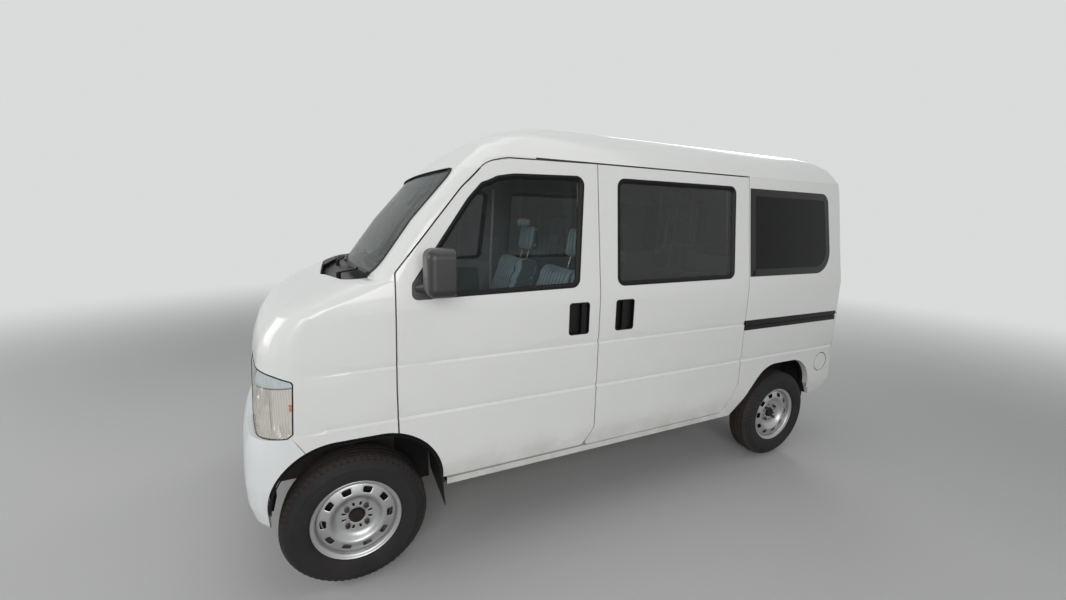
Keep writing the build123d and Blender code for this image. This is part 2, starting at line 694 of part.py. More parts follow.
def bumper_hull(rows, inset, front):
    """The form of a bumper, or the form inside its wall."""
    faces = []
    for height, back, tuck, radius in rows:
        if front:
            face = plan_section(height, back, LENGTH / 2, tuck, radius, 8, inset)
        else:
            face = plan_section(height, LENGTH / 2, back, tuck, 8, radius, inset)
        faces.append(face)
    return loft(faces, ruled=True)


front_bumper = bumper_hull(FRONT_BUMPER, 0, True) - bumper_hull(FRONT_BUMPER, FRONT_BUMPER_WALL, True)
front_bumper = (front_bumper & bumper_zone) - front_arch_cut
lip_notch = block((FRONT_AXLE_X, 500, 200), (FRONT_AXLE_X + 322, 672, 338))
front_bumper = front_bumper - lip_notch - mirrored(lip_notch)
PLATE_SPACING = 210
PLATE_HOLE = 7
for side in (1, -1):
    hole_y = side * PLATE_SPACING / 2
    front_bumper -= rod((FRONT_X - 60, hole_y, FRONT_PLATE_Z), (FRONT_X + 10, hole_y, FRONT_PLATE_Z), PLATE_HOLE / 2)
save("front_bumper", biggest(front_bumper))

# Rear bumper, same columns
REAR_BUMPER = [
    (400, 45, 20, 110),
    (430, 8, 3, 120),
    (470, 0, 0, 120),
    (590, 3, 0, 120),
    (REAR_BUMPER_TOP_Z, 16, 0, 115),
]
rear_bumper = bumper_hull(REAR_BUMPER, 0, False) - bumper_hull(REAR_BUMPER, FRONT_BUMPER_WALL, False)
rear_bumper &= block((REAR_X - 10, -900, 300), (REAR_X + REAR_BUMPER_REACH - SEAT_GAP, 900, 700))
rear_bumper -= side_cut(quarter_edge)
rear_bumper -= mirrored(side_cut(quarter_edge))
save("rear_bumper", biggest(rear_bumper))

# Tail lamps low on the corners beside the tailgate
tail_lamp = biggest(flush_layer & along_x(grow(lamp_back, -SEAT_GAP), REAR_X - 20, REAR_X + 95 - SEAT_GAP))
save("tail_lamps", both_sides(tail_lamp))

# Floor pan: footwell, seat box, second footwell, load floor, bulkhead and wheelhouses
FLOOR = 10
FOOTWELL_Z = 420
SEAT_BOX_Z = 640
SECOND_FLOOR_Z = 480
LOAD_FLOOR_Z = 660
SEAT_BOX_FRONT = FRONT_AXLE_X - 548
SEAT_BOX_REAR = FRONT_AXLE_X - 1018
BENCH_X = REAR_AXLE_X + 732
floor_half = HALF_WIDTH - WALL - SHUT_GAP - FRAME_DEPTH - SEAT_GAP - 20
wide_half = HALF_WIDTH - WALL - SEAT_GAP
floor_profile = [
    ((BULKHEAD_X - FLOOR, FOOTWELL_Z - FLOOR), (BULKHEAD_X, 1070)),
    ((SEAT_BOX_FRONT, FOOTWELL_Z - FLOOR), (BULKHEAD_X, FOOTWELL_Z)),
    ((SEAT_BOX_FRONT, FOOTWELL_Z - FLOOR), (SEAT_BOX_FRONT + FLOOR, SEAT_BOX_Z)),
    ((SEAT_BOX_REAR, SEAT_BOX_Z - FLOOR), (SEAT_BOX_FRONT + FLOOR, SEAT_BOX_Z)),
    ((SEAT_BOX_REAR, SECOND_FLOOR_Z - FLOOR), (SEAT_BOX_REAR + FLOOR, SEAT_BOX_Z)),
    ((BENCH_X, SECOND_FLOOR_Z - FLOOR), (SEAT_BOX_REAR + FLOOR, SECOND_FLOOR_Z)),
    ((BENCH_X, SECOND_FLOOR_Z - FLOOR), (BENCH_X + FLOOR, LOAD_FLOOR_Z)),
    ((REAR_X + 147, LOAD_FLOOR_Z - FLOOR), (BENCH_X + FLOOR, LOAD_FLOOR_Z)),
]
floor_pan = None
for low, high in floor_profile:
    plate = block((low[0], -floor_half, low[1]), (high[0], floor_half, high[1]))
    floor_pan = plate if floor_pan is None else floor_pan + plate
floor_pan += block((REAR_X + 262, -wide_half, LOAD_FLOOR_Z - FLOOR), (SLIDE_REAR_X - 90, wide_half, LOAD_FLOOR_Z))
for side in (1, -1):
    house = along_y(wheelhouse, WHEELHOUSE_IN, WHEELHOUSE_OUT)
    hollow = along_y(grow(wheelhouse, -WHEELHOUSE_SKIN), WHEELHOUSE_IN + WHEELHOUSE_SKIN, 900)
    rear_house = along_y(grow(rear_arch, 20), 545, wide_half) & block((-3000, 0, SILL_Z), (3000, 900, 700))
    rear_hollow = along_y(grow(rear_arch, 12), 553, 900)
    house &= block((0, 0, 330), (3000, 900, 700))
    parts = [house, hollow, rear_house, rear_hollow]
    if side < 0:
        parts = [mirrored(part) for part in parts]
    floor_pan = floor_pan + parts[0] + parts[2] - parts[1] - parts[3]
floor_pan -= side_cut(slide_door_opening, FRAME_LIP)
floor_pan &= floor_zone
save("floor_pan", biggest(floor_pan))

# Underframe: two rails that kick up over the rear axle, with cross members
RAIL_IN = 330
RAIL_OUT = 390
RAIL_TALL = 60
FLOOR_UNDER_Z = FOOTWELL_Z - FLOOR
KICK_Z = LOAD_FLOOR_Z - FLOOR
KICK_X = REAR_AXLE_X + 332
rail_side = rounded(
    [
        (FRONT_X - 112, FLOOR_UNDER_Z),
        (FRONT_X - 112, FLOOR_UNDER_Z - RAIL_TALL),
        (KICK_X + 190, FLOOR_UNDER_Z - RAIL_TALL),
        (KICK_X - 10, KICK_Z - RAIL_TALL),
        (REAR_X + 149, KICK_Z - RAIL_TALL),
        (REAR_X + 149, KICK_Z),
        (KICK_X - 40, KICK_Z),
        (KICK_X + 160, FLOOR_UNDER_Z),
    ],
    [0] * 8,
)
underframe = along_y(rail_side, RAIL_IN, RAIL_OUT)
underframe += block((REAR_X + 36, RAIL_IN, 520), (REAR_X + 180, RAIL_OUT, KICK_Z - RAIL_TALL + 6))
underframe += mirrored(underframe)
for cross_x, cross_top in [
    (FRONT_X - 142, FLOOR_UNDER_Z),
    (FRONT_AXLE_X - 30, FLOOR_UNDER_Z),
    (SEAT_BOX_FRONT - 60, FLOOR_UNDER_Z),
    (BENCH_X + 40, FLOOR_UNDER_Z),
    (REAR_AXLE_X - 300, KICK_Z),
]:
    underframe += block((cross_x, -RAIL_IN, cross_top - RAIL_TALL), (cross_x + 40, RAIL_IN, cross_top))
save("underframe", underframe)

# Front suspension: cross member, lower arms, springs. The strut's axis is the steering axis
BALL_Y = 585
BALL_Z = 190
STRUT_TOP_Y = 500
STRUT_TOP_Z = 631
HOUSE_TOP_Z = 640
CARRIER_Z = 205
BEARING_GAP = 0.1
axis_low = Vector(FRONT_AXLE_X, BALL_Y, BALL_Z)
axis_high = Vector(FRONT_AXLE_X, STRUT_TOP_Y, STRUT_TOP_Z)
axis_direction = (axis_high - axis_low).normalized()


def on_axis(height):
    """The point of the left steering axis at a height."""
    return axis_low + axis_direction * ((height - BALL_Z) / axis_direction.Z)


def axis_bar(low_z, high_z, radius):
    """A round bar along the left steering axis."""
    return rod(on_axis(low_z), on_axis(high_z), radius)


STRUT_RADIUS = 24
ROD_RADIUS = 10
SPRING_RADIUS = 52
SPRING_BASE_Z = 566
arm = rod((FRONT_AXLE_X, RAIL_IN - 30, CARRIER_Z), (FRONT_AXLE_X, BALL_Y - 2, BALL_Z - 25), 14)
arm += rod((FRONT_AXLE_X - 230, RAIL_OUT - 40, CARRIER_Z + 10), (FRONT_AXLE_X - 4, BALL_Y - 30, BALL_Z - 22), 10)
rail_base_z = FLOOR_UNDER_Z - RAIL_TALL
arm += block((FRONT_AXLE_X - 250, RAIL_IN + 5, CARRIER_Z - 5), (FRONT_AXLE_X - 215, RAIL_OUT - 5, rail_base_z))
arm += block((FRONT_AXLE_X - 30, RAIL_IN - 40, CARRIER_Z - 22), (FRONT_AXLE_X + 30, RAIL_IN + 40, rail_base_z))
spring = axis_bar(SPRING_BASE_Z, STRUT_TOP_Z, SPRING_RADIUS)
spring -= axis_bar(SPRING_BASE_Z - 9, STRUT_TOP_Z + 9, STRUT_RADIUS + 4)
top_mount = axis_bar(STRUT_TOP_Z - 6, HOUSE_TOP_Z, SPRING_RADIUS)
top_mount -= axis_bar(STRUT_TOP_Z - 20, HOUSE_TOP_Z + 20, ROD_RADIUS + BEARING_GAP)
top_mount += spring
top_mount &= block((0, 0, 0), (3000, 900, HOUSE_TOP_Z - WHEELHOUSE_SKIN - SEAT_GAP))
carrier = block((FRONT_AXLE_X - 30, -RAIL_IN, CARRIER_Z - 22), (FRONT_AXLE_X + 30, RAIL_IN, CARRIER_Z + 22))
front_suspension = carrier + arm + mirrored(arm)
save("front_suspension", [front_suspension] + both_sides(top_mount))

# Steering knuckles: strut tube, upright and spindle
FRONT_WHEEL_Y = FRONT_TRACK / 2
REAR_WHEEL_Y = REAR_TRACK / 2
SPINDLE_RADIUS = 20
HUB_INNER = 42
HUB_RADIUS = 58
UPRIGHT_THICKNESS = 28
upright_out = FRONT_WHEEL_Y - HUB_INNER - SHUT_GAP
knuckle = axis_bar(BALL_Z + 2, BALL_Z + 90, 16)
knuckle += axis_bar(AXLE_Z + 20, SPRING_BASE_Z - SHUT_GAP, STRUT_RADIUS)
knuckle += axis_bar(SPRING_BASE_Z - 20, HOUSE_TOP_Z - WHEELHOUSE_SKIN - 2.5, ROD_RADIUS)
knuckle += block(
    (FRONT_AXLE_X - 32, upright_out - UPRIGHT_THICKNESS, AXLE_Z - 50),
    (FRONT_AXLE_X + 32, upright_out, AXLE_Z + 62),
)
knuckle += rod((FRONT_AXLE_X, upright_out - 5, AXLE_Z), (FRONT_AXLE_X, FRONT_WHEEL_Y + 18, AXLE_Z), SPINDLE_RADIUS)
knuckle += rod((FRONT_AXLE_X - 10, upright_out - 14, AXLE_Z - 30), (FRONT_AXLE_X - 118, upright_out - 26, AXLE_Z - 36), 9)
save("knuckle_left", knuckle)
save("knuckle_right", mirrored(knuckle))

# Road wheels. The section is half a wheel: radius, then distance out from the wheel's middle plane
RIM_RADIUS = RIM_DIAMETER / 2
RIM_HALF = RIM_WIDTH / 2
SHEET = 5
BEAD_HALF = RIM_HALF - 1
FLANGE_RADIUS = RIM_RADIUS + RIM_FLANGE
DROP_RADIUS = RIM_RADIUS - 16
CAP_RADIUS = 24
VENT_COUNT = 10
VENT_CIRCLE = 122
VENT_RADIUS = 9.5
barrel_section = [
    (FLANGE_RADIUS, -RIM_HALF - 6),
    (FLANGE_RADIUS - 2, -RIM_HALF - 2),
    (RIM_RADIUS, -BEAD_HALF),
    (RIM_RADIUS, -BEAD_HALF + 22),
    (DROP_RADIUS, -BEAD_HALF + 34),
    (DROP_RADIUS, BEAD_HALF - 44),
    (RIM_RADIUS, BEAD_HALF - 32),
    (RIM_RADIUS, BEAD_HALF),
    (FLANGE_RADIUS - 2, RIM_HALF + 2),
    (FLANGE_RADIUS, RIM_HALF + 6),
    (FLANGE_RADIUS - 5, RIM_HALF + 6),
    (RIM_RADIUS - SHEET, RIM_HALF + 2),
    (RIM_RADIUS - SHEET, BEAD_HALF - 30),
    (DROP_RADIUS - SHEET, BEAD_HALF - 42),
    (DROP_RADIUS - SHEET, -BEAD_HALF + 32),
    (RIM_RADIUS - SHEET, -BEAD_HALF + 20),
    (RIM_RADIUS - SHEET, -RIM_HALF - 2),
    (FLANGE_RADIUS - 5, -RIM_HALF - 6),
]
disc_section = [
    (RIM_RADIUS - SHEET, 34),
    (136, 39),
    (122, 42),
    (108, 39),
    (94, 31),
    (74, 20),
    (HUB_BORE / 2, 20),
    (CAP_RADIUS, 36),
    (0, 36),
    (0, 19),
    (SPINDLE_RADIUS + BEARING_GAP, 19),
    (SPINDLE_RADIUS + BEARING_GAP, -HUB_INNER),
    (HUB_RADIUS, -HUB_INNER),
    (HUB_RADIUS, 14),
    (76, 14),
    (96, 26),
    (109, 33),
    (122, 36),
    (134, 33),
    (RIM_RADIUS - SHEET, 25),
]


def turned(section, centre):
    """A solid turned about a wheel's axis from points of radius and distance outwards (+Y)."""
    face = make_face(Polyline(*section, close=True))
    plane = Plane(origin=centre, x_dir=(1, 0, 0), z_dir=(0, 0, 1))
    return revolve(plane * face, Axis(centre, (0, 1, 0)), 360)


def road_wheel(centre):
    """Rim, disc, hub and bearing cap of a left wheel."""
    wheel = turned(barrel_section, centre) + turned(disc_section, centre)
    face = Plane(origin=(centre[0], centre[1] + 8, centre[2]), z_dir=(0, 1, 0))
    for index in range(VENT_COUNT):
        spot = Rot(0, 0, index * 360 / VENT_COUNT) * Pos(VENT_CIRCLE, 0)
        wheel -= extrude(face * (spot * Circle(VENT_RADIUS)), 40)
    for index in range(4):
        spot = Rot(0, 0, 45 + index * 90) * Pos(BOLT_CIRCLE / 2, 0)
        wheel -= extrude(face * (spot * Circle(STUD_HOLE / 2)), 40)
    return wheel


TREAD_HALF = 42
SHOULDER_RADIUS = TYRE_RADIUS - 3
BULGE_RADIUS = RIM_RADIUS + 54


def road_tyre(centre):
    """A plain tyre: seated bead, bulged sides, rounded shoulders, slightly crowned tread."""
    bead = (RIM_RADIUS + SEAT_GAP, BEAD_HALF - SEAT_GAP)
    lip = (FLANGE_RADIUS + SEAT_GAP, BEAD_HALF - SEAT_GAP)
    shoulder = (TYRE_RADIUS - 16, TYRE_WIDTH / 2 - 13)
    edge = (SHOULDER_RADIUS, TREAD_HALF)
    side = [
        Line(bead, lip),
        ThreePointArc(lip, (BULGE_RADIUS, TYRE_WIDTH / 2), shoulder),
        ThreePointArc(shoulder, (TYRE_RADIUS - 7, TYRE_WIDTH / 2 - 20), edge),
    ]
    other = [mirror(part, Plane.XZ) for part in side]
    crown = ThreePointArc(edge, (TYRE_RADIUS, 0), (edge[0], -edge[1]))
    base = Line(bead, (bead[0], -bead[1]))
    face = make_face(side + [crown] + other + [base])
    plane = Plane(origin=centre, x_dir=(1, 0, 0), z_dir=(0, 0, 1))
    return revolve(plane * face, Axis(centre, (0, 1, 0)), 360)


for end, axle_x, wheel_y in [("front", FRONT_AXLE_X, FRONT_WHEEL_Y), ("rear", REAR_AXLE_X, REAR_WHEEL_Y)]:
    centre = (axle_x, wheel_y, AXLE_Z)
    wheel = road_wheel(centre)
    tyre = road_tyre(centre)
    save(f"wheel_{end}_left", wheel)
    save(f"wheel_{end}_right", mirrored(wheel))
    save(f"tyre_{end}_left", tyre)
    save(f"tyre_{end}_right", mirrored(tyre))

# Rear axle: beam, backing plates, spindles, springs and trailing arms
BEAM_RADIUS = 30
PLATE_RADIUS = 98
beam_end = REAR_WHEEL_Y - HUB_INNER - SHUT_GAP
rear_axle = rod((REAR_AXLE_X, -beam_end + 2, AXLE_Z), (REAR_AXLE_X, beam_end - 2, AXLE_Z), BEAM_RADIUS)
for side in (1, -1):
    rear_axle += rod((REAR_AXLE_X, side * (beam_end - 10), AXLE_Z), (REAR_AXLE_X, side * beam_end, AXLE_Z), PLATE_RADIUS)
    rear_axle += rod(
        (REAR_AXLE_X, side * (beam_end - 5), AXLE_Z), (REAR_AXLE_X, side * (REAR_WHEEL_Y + 18), AXLE_Z), SPINDLE_RADIUS
    )
    rear_axle += rod(
        (REAR_AXLE_X, side * 450, AXLE_Z - 4), (KICK_X + 200, side * (RAIL_OUT - 30), FLOOR_UNDER_Z - RAIL_TALL - 16), 15
    )
    rear_axle += rod(
        (REAR_AXLE_X, side * (RAIL_IN + 30), AXLE_Z + 20), (REAR_AXLE_X, side * (RAIL_IN + 30), KICK_Z - RAIL_TALL - SEAT_GAP), 45
    )
save("rear_axle", rear_axle)

# Engine block under the load floor, on two mounts from the rails
ENGINE_LENGTH = 440
ENGINE_WIDTH = 440
ENGINE_HEIGHT = 350
ENGINE_X = REAR_AXLE_X + 400
ENGINE_BASE_Z = 235
engine = block(
    (ENGINE_X - ENGINE_LENGTH / 2, -ENGINE_WIDTH / 2, ENGINE_BASE_Z),
    (ENGINE_X + ENGINE_LENGTH / 2, ENGINE_WIDTH / 2, ENGINE_BASE_Z + ENGINE_HEIGHT),
)
engine += block(
    (ENGINE_X + 130, -RAIL_IN + SEAT_GAP, FLOOR_UNDER_Z - 50), (ENGINE_X + 170, RAIL_IN - SEAT_GAP, FLOOR_UNDER_Z - 15)
)
save("engine", engine)

# Fuel tank under the second footwell
fuel_tank = block((BENCH_X + 95, -320, 275), (SEAT_BOX_REAR - 60, 320, SECOND_FLOOR_Z - FLOOR - SEAT_GAP))
save("fuel_tank", fillet(fuel_tank.edges().filter_by(Axis.Y), 25))

# Exhaust: pipe over the axle, cross-mounted silencer and tail pipe
SILENCER_X = REAR_X + 190
exhaust = rod((SILENCER_X, -250, 350), (SILENCER_X, 250, 350), 72)
exhaust += rod((ENGINE_X - ENGINE_LENGTH / 2 - SEAT_GAP, 150, 352), (SILENCER_X, 150, 352), 20)
exhaust += rod((SILENCER_X, -180, 320), (REAR_X + 55, -180, 320), 18)
exhaust += block((SILENCER_X - 15, -12, 400), (SILENCER_X + 15, 12, KICK_Z - SEAT_GAP))
save("exhaust", exhaust)

# Dashboard across the cab, with the steering column and wheel on the right
dash_profile = rounded(
    [
        (BULKHEAD_X - FLOOR - SEAT_GAP, 990),
        (BULKHEAD_X - FLOOR - SEAT_GAP, 1055),
        (FRONT_AXLE_X - 30, 1128),
        (FRONT_AXLE_X - 90, 1160),
        (FRONT_AXLE_X - 215, 1165),
        (FRONT_AXLE_X - 270, 1110),
        (FRONT_AXLE_X - 255, 1000),
        (FRONT_AXLE_X - 150, 890),
        (FRONT_AXLE_X - 150, 760),
        (FRONT_AXLE_X - 60, 760),
        (FRONT_AXLE_X - 30, 990),
    ],
    [0, 0, 0, 15, 25, 30, 30, 20, 20, 0, 0],
)
dashboard = along_y(dash_profile, -590, 590) & frame_inside
STEER_RADIUS = 180
steer_centre = Vector(FRONT_AXLE_X - 445, -SEAT_Y, 1000)
column_foot = Vector(FRONT_AXLE_X - 45, -SEAT_Y, FOOTWELL_Z + SEAT_GAP + 10.4)
column_direction = (column_foot - steer_centre).normalized()
dashboard -= rod(tuple(steer_centre), tuple(column_foot), 18 + SHUT_GAP)
save("dashboard", biggest(dashboard))
steer_plane = Plane(origin=steer_centre, z_dir=column_direction)
steering = steer_plane * Torus(STEER_RADIUS, 13)
steering += rod(tuple(steer_centre), tuple(column_foot), 18)
for turn in (90, 210, 330):
    spoke = steer_plane * Rot(0, 0, turn) * Pos(STEER_RADIUS / 2, 0, 0) * Box(STEER_RADIUS, 34, 10)
    steering += spoke
steering += steer_plane * Cylinder(46, 40)
save("steering_wheel", steering)

# Front seats: cushion, leaned backrest and headrest, one solid each
CUSHION_FRONT = FRONT_AXLE_X - 530
CUSHION_REAR = FRONT_AXLE_X - 1020
cushion = block(
    (CUSHION_REAR, SEAT_Y - SEAT_WIDTH / 2, SEAT_BOX_Z + SEAT_GAP),
    (CUSHION_FRONT, SEAT_Y + SEAT_WIDTH / 2, CUSHION_TOP_Z),
)
back_side = rounded(
    [
        (CUSHION_REAR + 125, CUSHION_TOP_Z - 80),
        (CUSHION_REAR - 52, 1228),
        (CUSHION_REAR - 165, 1205),
        (CUSHION_REAR - 10, CUSHION_TOP_Z - 110),
    ],
    [20, 35, 35, 20],
)
backrest = along_y(back_side, SEAT_Y - SEAT_WIDTH / 2, SEAT_Y + SEAT_WIDTH / 2)
head_side = rounded(
    [
        (CUSHION_REAR - 108, 1224),
        (CUSHION_REAR - 126, 1415),
        (CUSHION_REAR - 205, 1405),
        (CUSHION_REAR - 190, 1218),
    ],
    [20, 30, 30, 20],
)
headrest = along_y(head_side, SEAT_Y - 130, SEAT_Y + 130)
posts = block((CUSHION_REAR - 150, SEAT_Y - 60, 1190), (CUSHION_REAR - 138, SEAT_Y - 48, 1240))
posts += block((CUSHION_REAR - 150, SEAT_Y + 48, 1190), (CUSHION_REAR - 138, SEAT_Y + 60, 1240))
front_seat = cushion + backrest + headrest + posts
save("front_seats", both_sides(front_seat))

# Rear bench on its frame
BENCH_HALF = 560
bench = block((BENCH_X - 150, -BENCH_HALF, 720), (BENCH_X + 310, BENCH_HALF, 860))
bench += block((BENCH_X - 140, -BENCH_HALF + 40, LOAD_FLOOR_Z + SEAT_GAP), (BENCH_X - 60, BENCH_HALF - 40, 730))
for side in (1, -1):
    leg_y = side * (BENCH_HALF - 80)
    bench += block((BENCH_X + 250, leg_y - 12, SECOND_FLOOR_Z + SEAT_GAP), (BENCH_X + 274, leg_y + 12, 730))
bench_back = rounded(
    [
        (BENCH_X - 60, 800),
        (BENCH_X - 205, 1190),
        (BENCH_X - 300, 1165),
        (BENCH_X - 155, 780),
    ],
    [20, 35, 35, 20],
)
bench += along_y(bench_back, -BENCH_HALF, BENCH_HALF)
save("rear_bench", bench)

# Wipers parked along the windshield's foot
wipers = []
for pivot_y, reach in WIPER_PIVOTS:
    def glass_x(y, z):
        """The windshield's outside surface near its foot."""
        return FRONT_X - 452 - (z - COWL_Z) * 0.725 - y ** 2 / (2 * NOSE_BOW)

    foot = (WIPER_X, pivot_y, 1150)
    head = (WIPER_X, pivot_y, 1203)
    blade_z = COWL_Z + 17
    blade_start = (glass_x(pivot_y, blade_z) + 12, pivot_y, blade_z)
    blade_end = (glass_x(pivot_y + reach, blade_z) + 12, pivot_y + reach, blade_z)
    middle = tuple((blade_start[i] + blade_end[i]) / 2 for i in range(3))
    wiper = rod(foot, head, 9) + rod(head, (middle[0] + 6, middle[1], middle[2] + 4), 5) + rod(blade_start, blade_end, 6)
    wipers.append(wiper)
save("wipers", wipers)
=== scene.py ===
"""Looks of the white kei van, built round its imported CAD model."""
import json
import math

import bmesh
import bpy
from mathutils import Matrix, Vector

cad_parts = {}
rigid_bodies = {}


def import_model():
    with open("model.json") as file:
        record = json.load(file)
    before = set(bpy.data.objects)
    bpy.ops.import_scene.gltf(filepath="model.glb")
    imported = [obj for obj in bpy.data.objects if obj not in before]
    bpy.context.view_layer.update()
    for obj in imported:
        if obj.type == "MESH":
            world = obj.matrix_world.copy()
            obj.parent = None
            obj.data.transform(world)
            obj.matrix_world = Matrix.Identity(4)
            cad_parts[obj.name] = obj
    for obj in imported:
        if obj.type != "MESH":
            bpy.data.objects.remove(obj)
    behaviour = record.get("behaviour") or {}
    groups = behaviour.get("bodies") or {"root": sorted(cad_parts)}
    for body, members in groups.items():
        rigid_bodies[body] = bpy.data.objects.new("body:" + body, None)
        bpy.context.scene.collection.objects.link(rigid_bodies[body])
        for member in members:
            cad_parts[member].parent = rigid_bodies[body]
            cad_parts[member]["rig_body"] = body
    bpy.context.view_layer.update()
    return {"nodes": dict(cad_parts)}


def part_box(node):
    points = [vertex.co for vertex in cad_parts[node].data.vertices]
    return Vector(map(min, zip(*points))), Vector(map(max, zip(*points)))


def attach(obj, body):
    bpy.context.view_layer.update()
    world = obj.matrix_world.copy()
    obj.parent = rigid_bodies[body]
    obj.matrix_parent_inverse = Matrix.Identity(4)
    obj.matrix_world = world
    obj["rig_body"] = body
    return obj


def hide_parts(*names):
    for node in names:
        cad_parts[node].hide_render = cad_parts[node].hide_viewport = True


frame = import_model()
bpy.context.scene.view_settings.view_transform = "Standard"

# Camera: a wide phone lens held beside the van's left front corner, at head height,
# tipped down a little and a touch off level.
YAW = -2.007
TIP_DOWN = 0.1882
ROLL = 0.0206
CAMERA_PLACE = (1.2741, 2.2972, 1.4388)
flat = math.cos(TIP_DOWN)
forward = Vector((math.cos(YAW) * flat, math.sin(YAW) * flat, -math.sin(TIP_DOWN)))
level_right = Vector((math.sin(YAW), -math.cos(YAW), 0))
level_up = level_right.cross(forward)
right = math.cos(ROLL) * level_right + math.sin(ROLL) * level_up
up = -math.sin(ROLL) * level_right + math.cos(ROLL) * level_up
camera = bpy.data.objects.new("camera", bpy.data.cameras.new("camera"))
bpy.context.scene.collection.objects.link(camera)
camera.data.lens = 14.18
camera.data.sensor_width = 36
rows = [(right[i], up[i], -forward[i], CAMERA_PLACE[i]) for i in range(3)]
camera.matrix_world = Matrix((*rows, (0, 0, 0, 1)))
bpy.context.scene.camera = camera


# Studio: a pale floor under soft boxes, in a pale room that glass and paint reflect.
# Nothing here belongs to the van.
def studio_lamp(name, place, target, width, height, watts):
    """A soft box that faces its target."""
    lamp = bpy.data.objects.new(name, bpy.data.lights.new(name, "AREA"))
    lamp.data.shape = "RECTANGLE"
    lamp.data.size = width
    lamp.data.size_y = height
    lamp.data.energy = watts
    lamp.location = place
    lamp.rotation_euler = (Vector(target) - Vector(place)).to_track_quat("-Z", "Y").to_euler()
    bpy.context.scene.collection.objects.link(lamp)


studio_lamp("soft_box_over", (0.4, 0.3, 4.6), (0, 0, 0.9), 5.5, 3.2, 48)
studio_lamp("soft_box_left", (2.2, 5.2, 2.6), (0.0, 0, 0.8), 4.0, 2.4, 150)
studio_lamp("soft_box_front", (5.6, -0.6, 2.4), (0.6, 0, 0.8), 3.0, 2.2, 70)
studio_lamp("soft_box_back", (-4.8, -3.6, 3.0), (-0.4, 0, 0.9), 3.5, 2.2, 90)


def feed_inputs(tree, node, feeds):
    """Each named input joined to a socket or set to a value."""
    for label, feed in feeds.items():
        if isinstance(feed, bpy.types.NodeSocket):
            tree.links.new(feed, node.inputs[label])
        else:
            node.inputs[label].default_value = feed


def add_node(tree, kind, feeds, **settings):
    """A new shader node with its settings and inputs."""
    node = tree.nodes.new("ShaderNode" + kind)
    for setting, value in settings.items():
        setattr(node, setting, value)
    feed_inputs(tree, node, feeds)
    return node


def worked(tree, operation, *feeds):
    """The outcome of one sum on numbers or sockets."""
    return add_node(tree, "Math", dict(enumerate(feeds)), operation=operation).outputs[0]


def ranged(tree, value, low, high, to_low=0.0, to_high=1.0, ease="LINEAR"):
    """A value carried from one range to another, and held within it."""
    feeds = {"Value": value, "From Min": low, "From Max": high, "To Min": to_low, "To Max": to_high}
    return add_node(tree, "MapRange", feeds, interpolation_type=ease).outputs[0]


def new_material(name, values):
    """A material, its node tree and its shader, with some of the shader's inputs set."""
    material = bpy.data.materials.new(name)
    material.use_nodes = True
    tree = material.node_tree
    shader = tree.nodes["Principled BSDF"]
    feed_inputs(tree, shader, values)
    return material, tree, shader


def seen_mask(tree):
    """One where a camera, glossy or transmission ray looks, for what the room shows."""
    rays = add_node(tree, "LightPath", {}).outputs
    seen = worked(tree, "MAXIMUM", rays["Is Camera Ray"], rays["Is Glossy Ray"])
    return worked(tree, "MAXIMUM", seen, rays["Is Transmission Ray"])


SEEN_THROUGH_GLASS = 0.12


def dim_through_glass(tree):
    """The room's brightness: low where it is seen through a pane, which counts as two surfaces."""
    passed = add_node(tree, "LightPath", {}).outputs["Transparent Depth"]
    return ranged(tree, passed, 1.4, 1.6, 1.0, SEEN_THROUGH_GLASS)


ROOM_COLOUR = (0.70, 0.71, 0.71, 1)
world = bpy.data.worlds.new("pale_room")
world.use_nodes = True
bpy.context.scene.world = world
room = world.node_tree
ambient = room.nodes["Background"]
feed_inputs(room, ambient, {"Color": (0.82, 0.86, 0.9, 1), "Strength": 0.27})
shown = add_node(room, "Background", {"Color": ROOM_COLOUR, "Strength": dim_through_glass(room)})
either = add_node(room, "MixShader", {0: seen_mask(room), 1: ambient.outputs[0], 2: shown.outputs[0]})
feed_inputs(room, room.nodes["World Output"], {"Surface": either.outputs[0]})


def mesh_piece(name, bm, *materials):
    """A finished piece at the origin from a bmesh, with its materials."""
    mesh = bpy.data.meshes.new(name)
    bm.to_mesh(mesh)
    bm.free()
    for material in materials:
        mesh.materials.append(material)
    piece = bpy.data.objects.new(name, mesh)
    bpy.context.scene.collection.objects.link(piece)
    return piece


# The floor fades into the room between these distances from the van
FADE_START = 3.2
FADE_END = 9.0
FLOOR_HALF = 60
floor_material, floor_tree, floor_shader = new_material("studio_floor", {
    "Base Color": (0.50, 0.50, 0.49, 1), "Roughness": 0.8})
floor_place = add_node(floor_tree, "TexCoord", {}).outputs["Object"]
distance = add_node(floor_tree, "VectorMath", {0: floor_place}, operation="LENGTH").outputs["Value"]
fade = ranged(floor_tree, distance, FADE_START, FADE_END, ease="SMOOTHSTEP")
glow = add_node(floor_tree, "Emission", {"Color": ROOM_COLOUR, "Strength": dim_through_glass(floor_tree)})
floor_mix = add_node(floor_tree, "MixShader", {
    0: worked(floor_tree, "MULTIPLY", fade, seen_mask(floor_tree)),
    1: floor_shader.outputs[0],
    2: glow.outputs[0],
})
feed_inputs(floor_tree, floor_tree.nodes["Material Output"], {"Surface": floor_mix.outputs[0]})
floor = bmesh.new()
bmesh.ops.create_grid(floor, x_segments=1, y_segments=1, size=FLOOR_HALF)
mesh_piece("studio_floor", floor, floor_material)


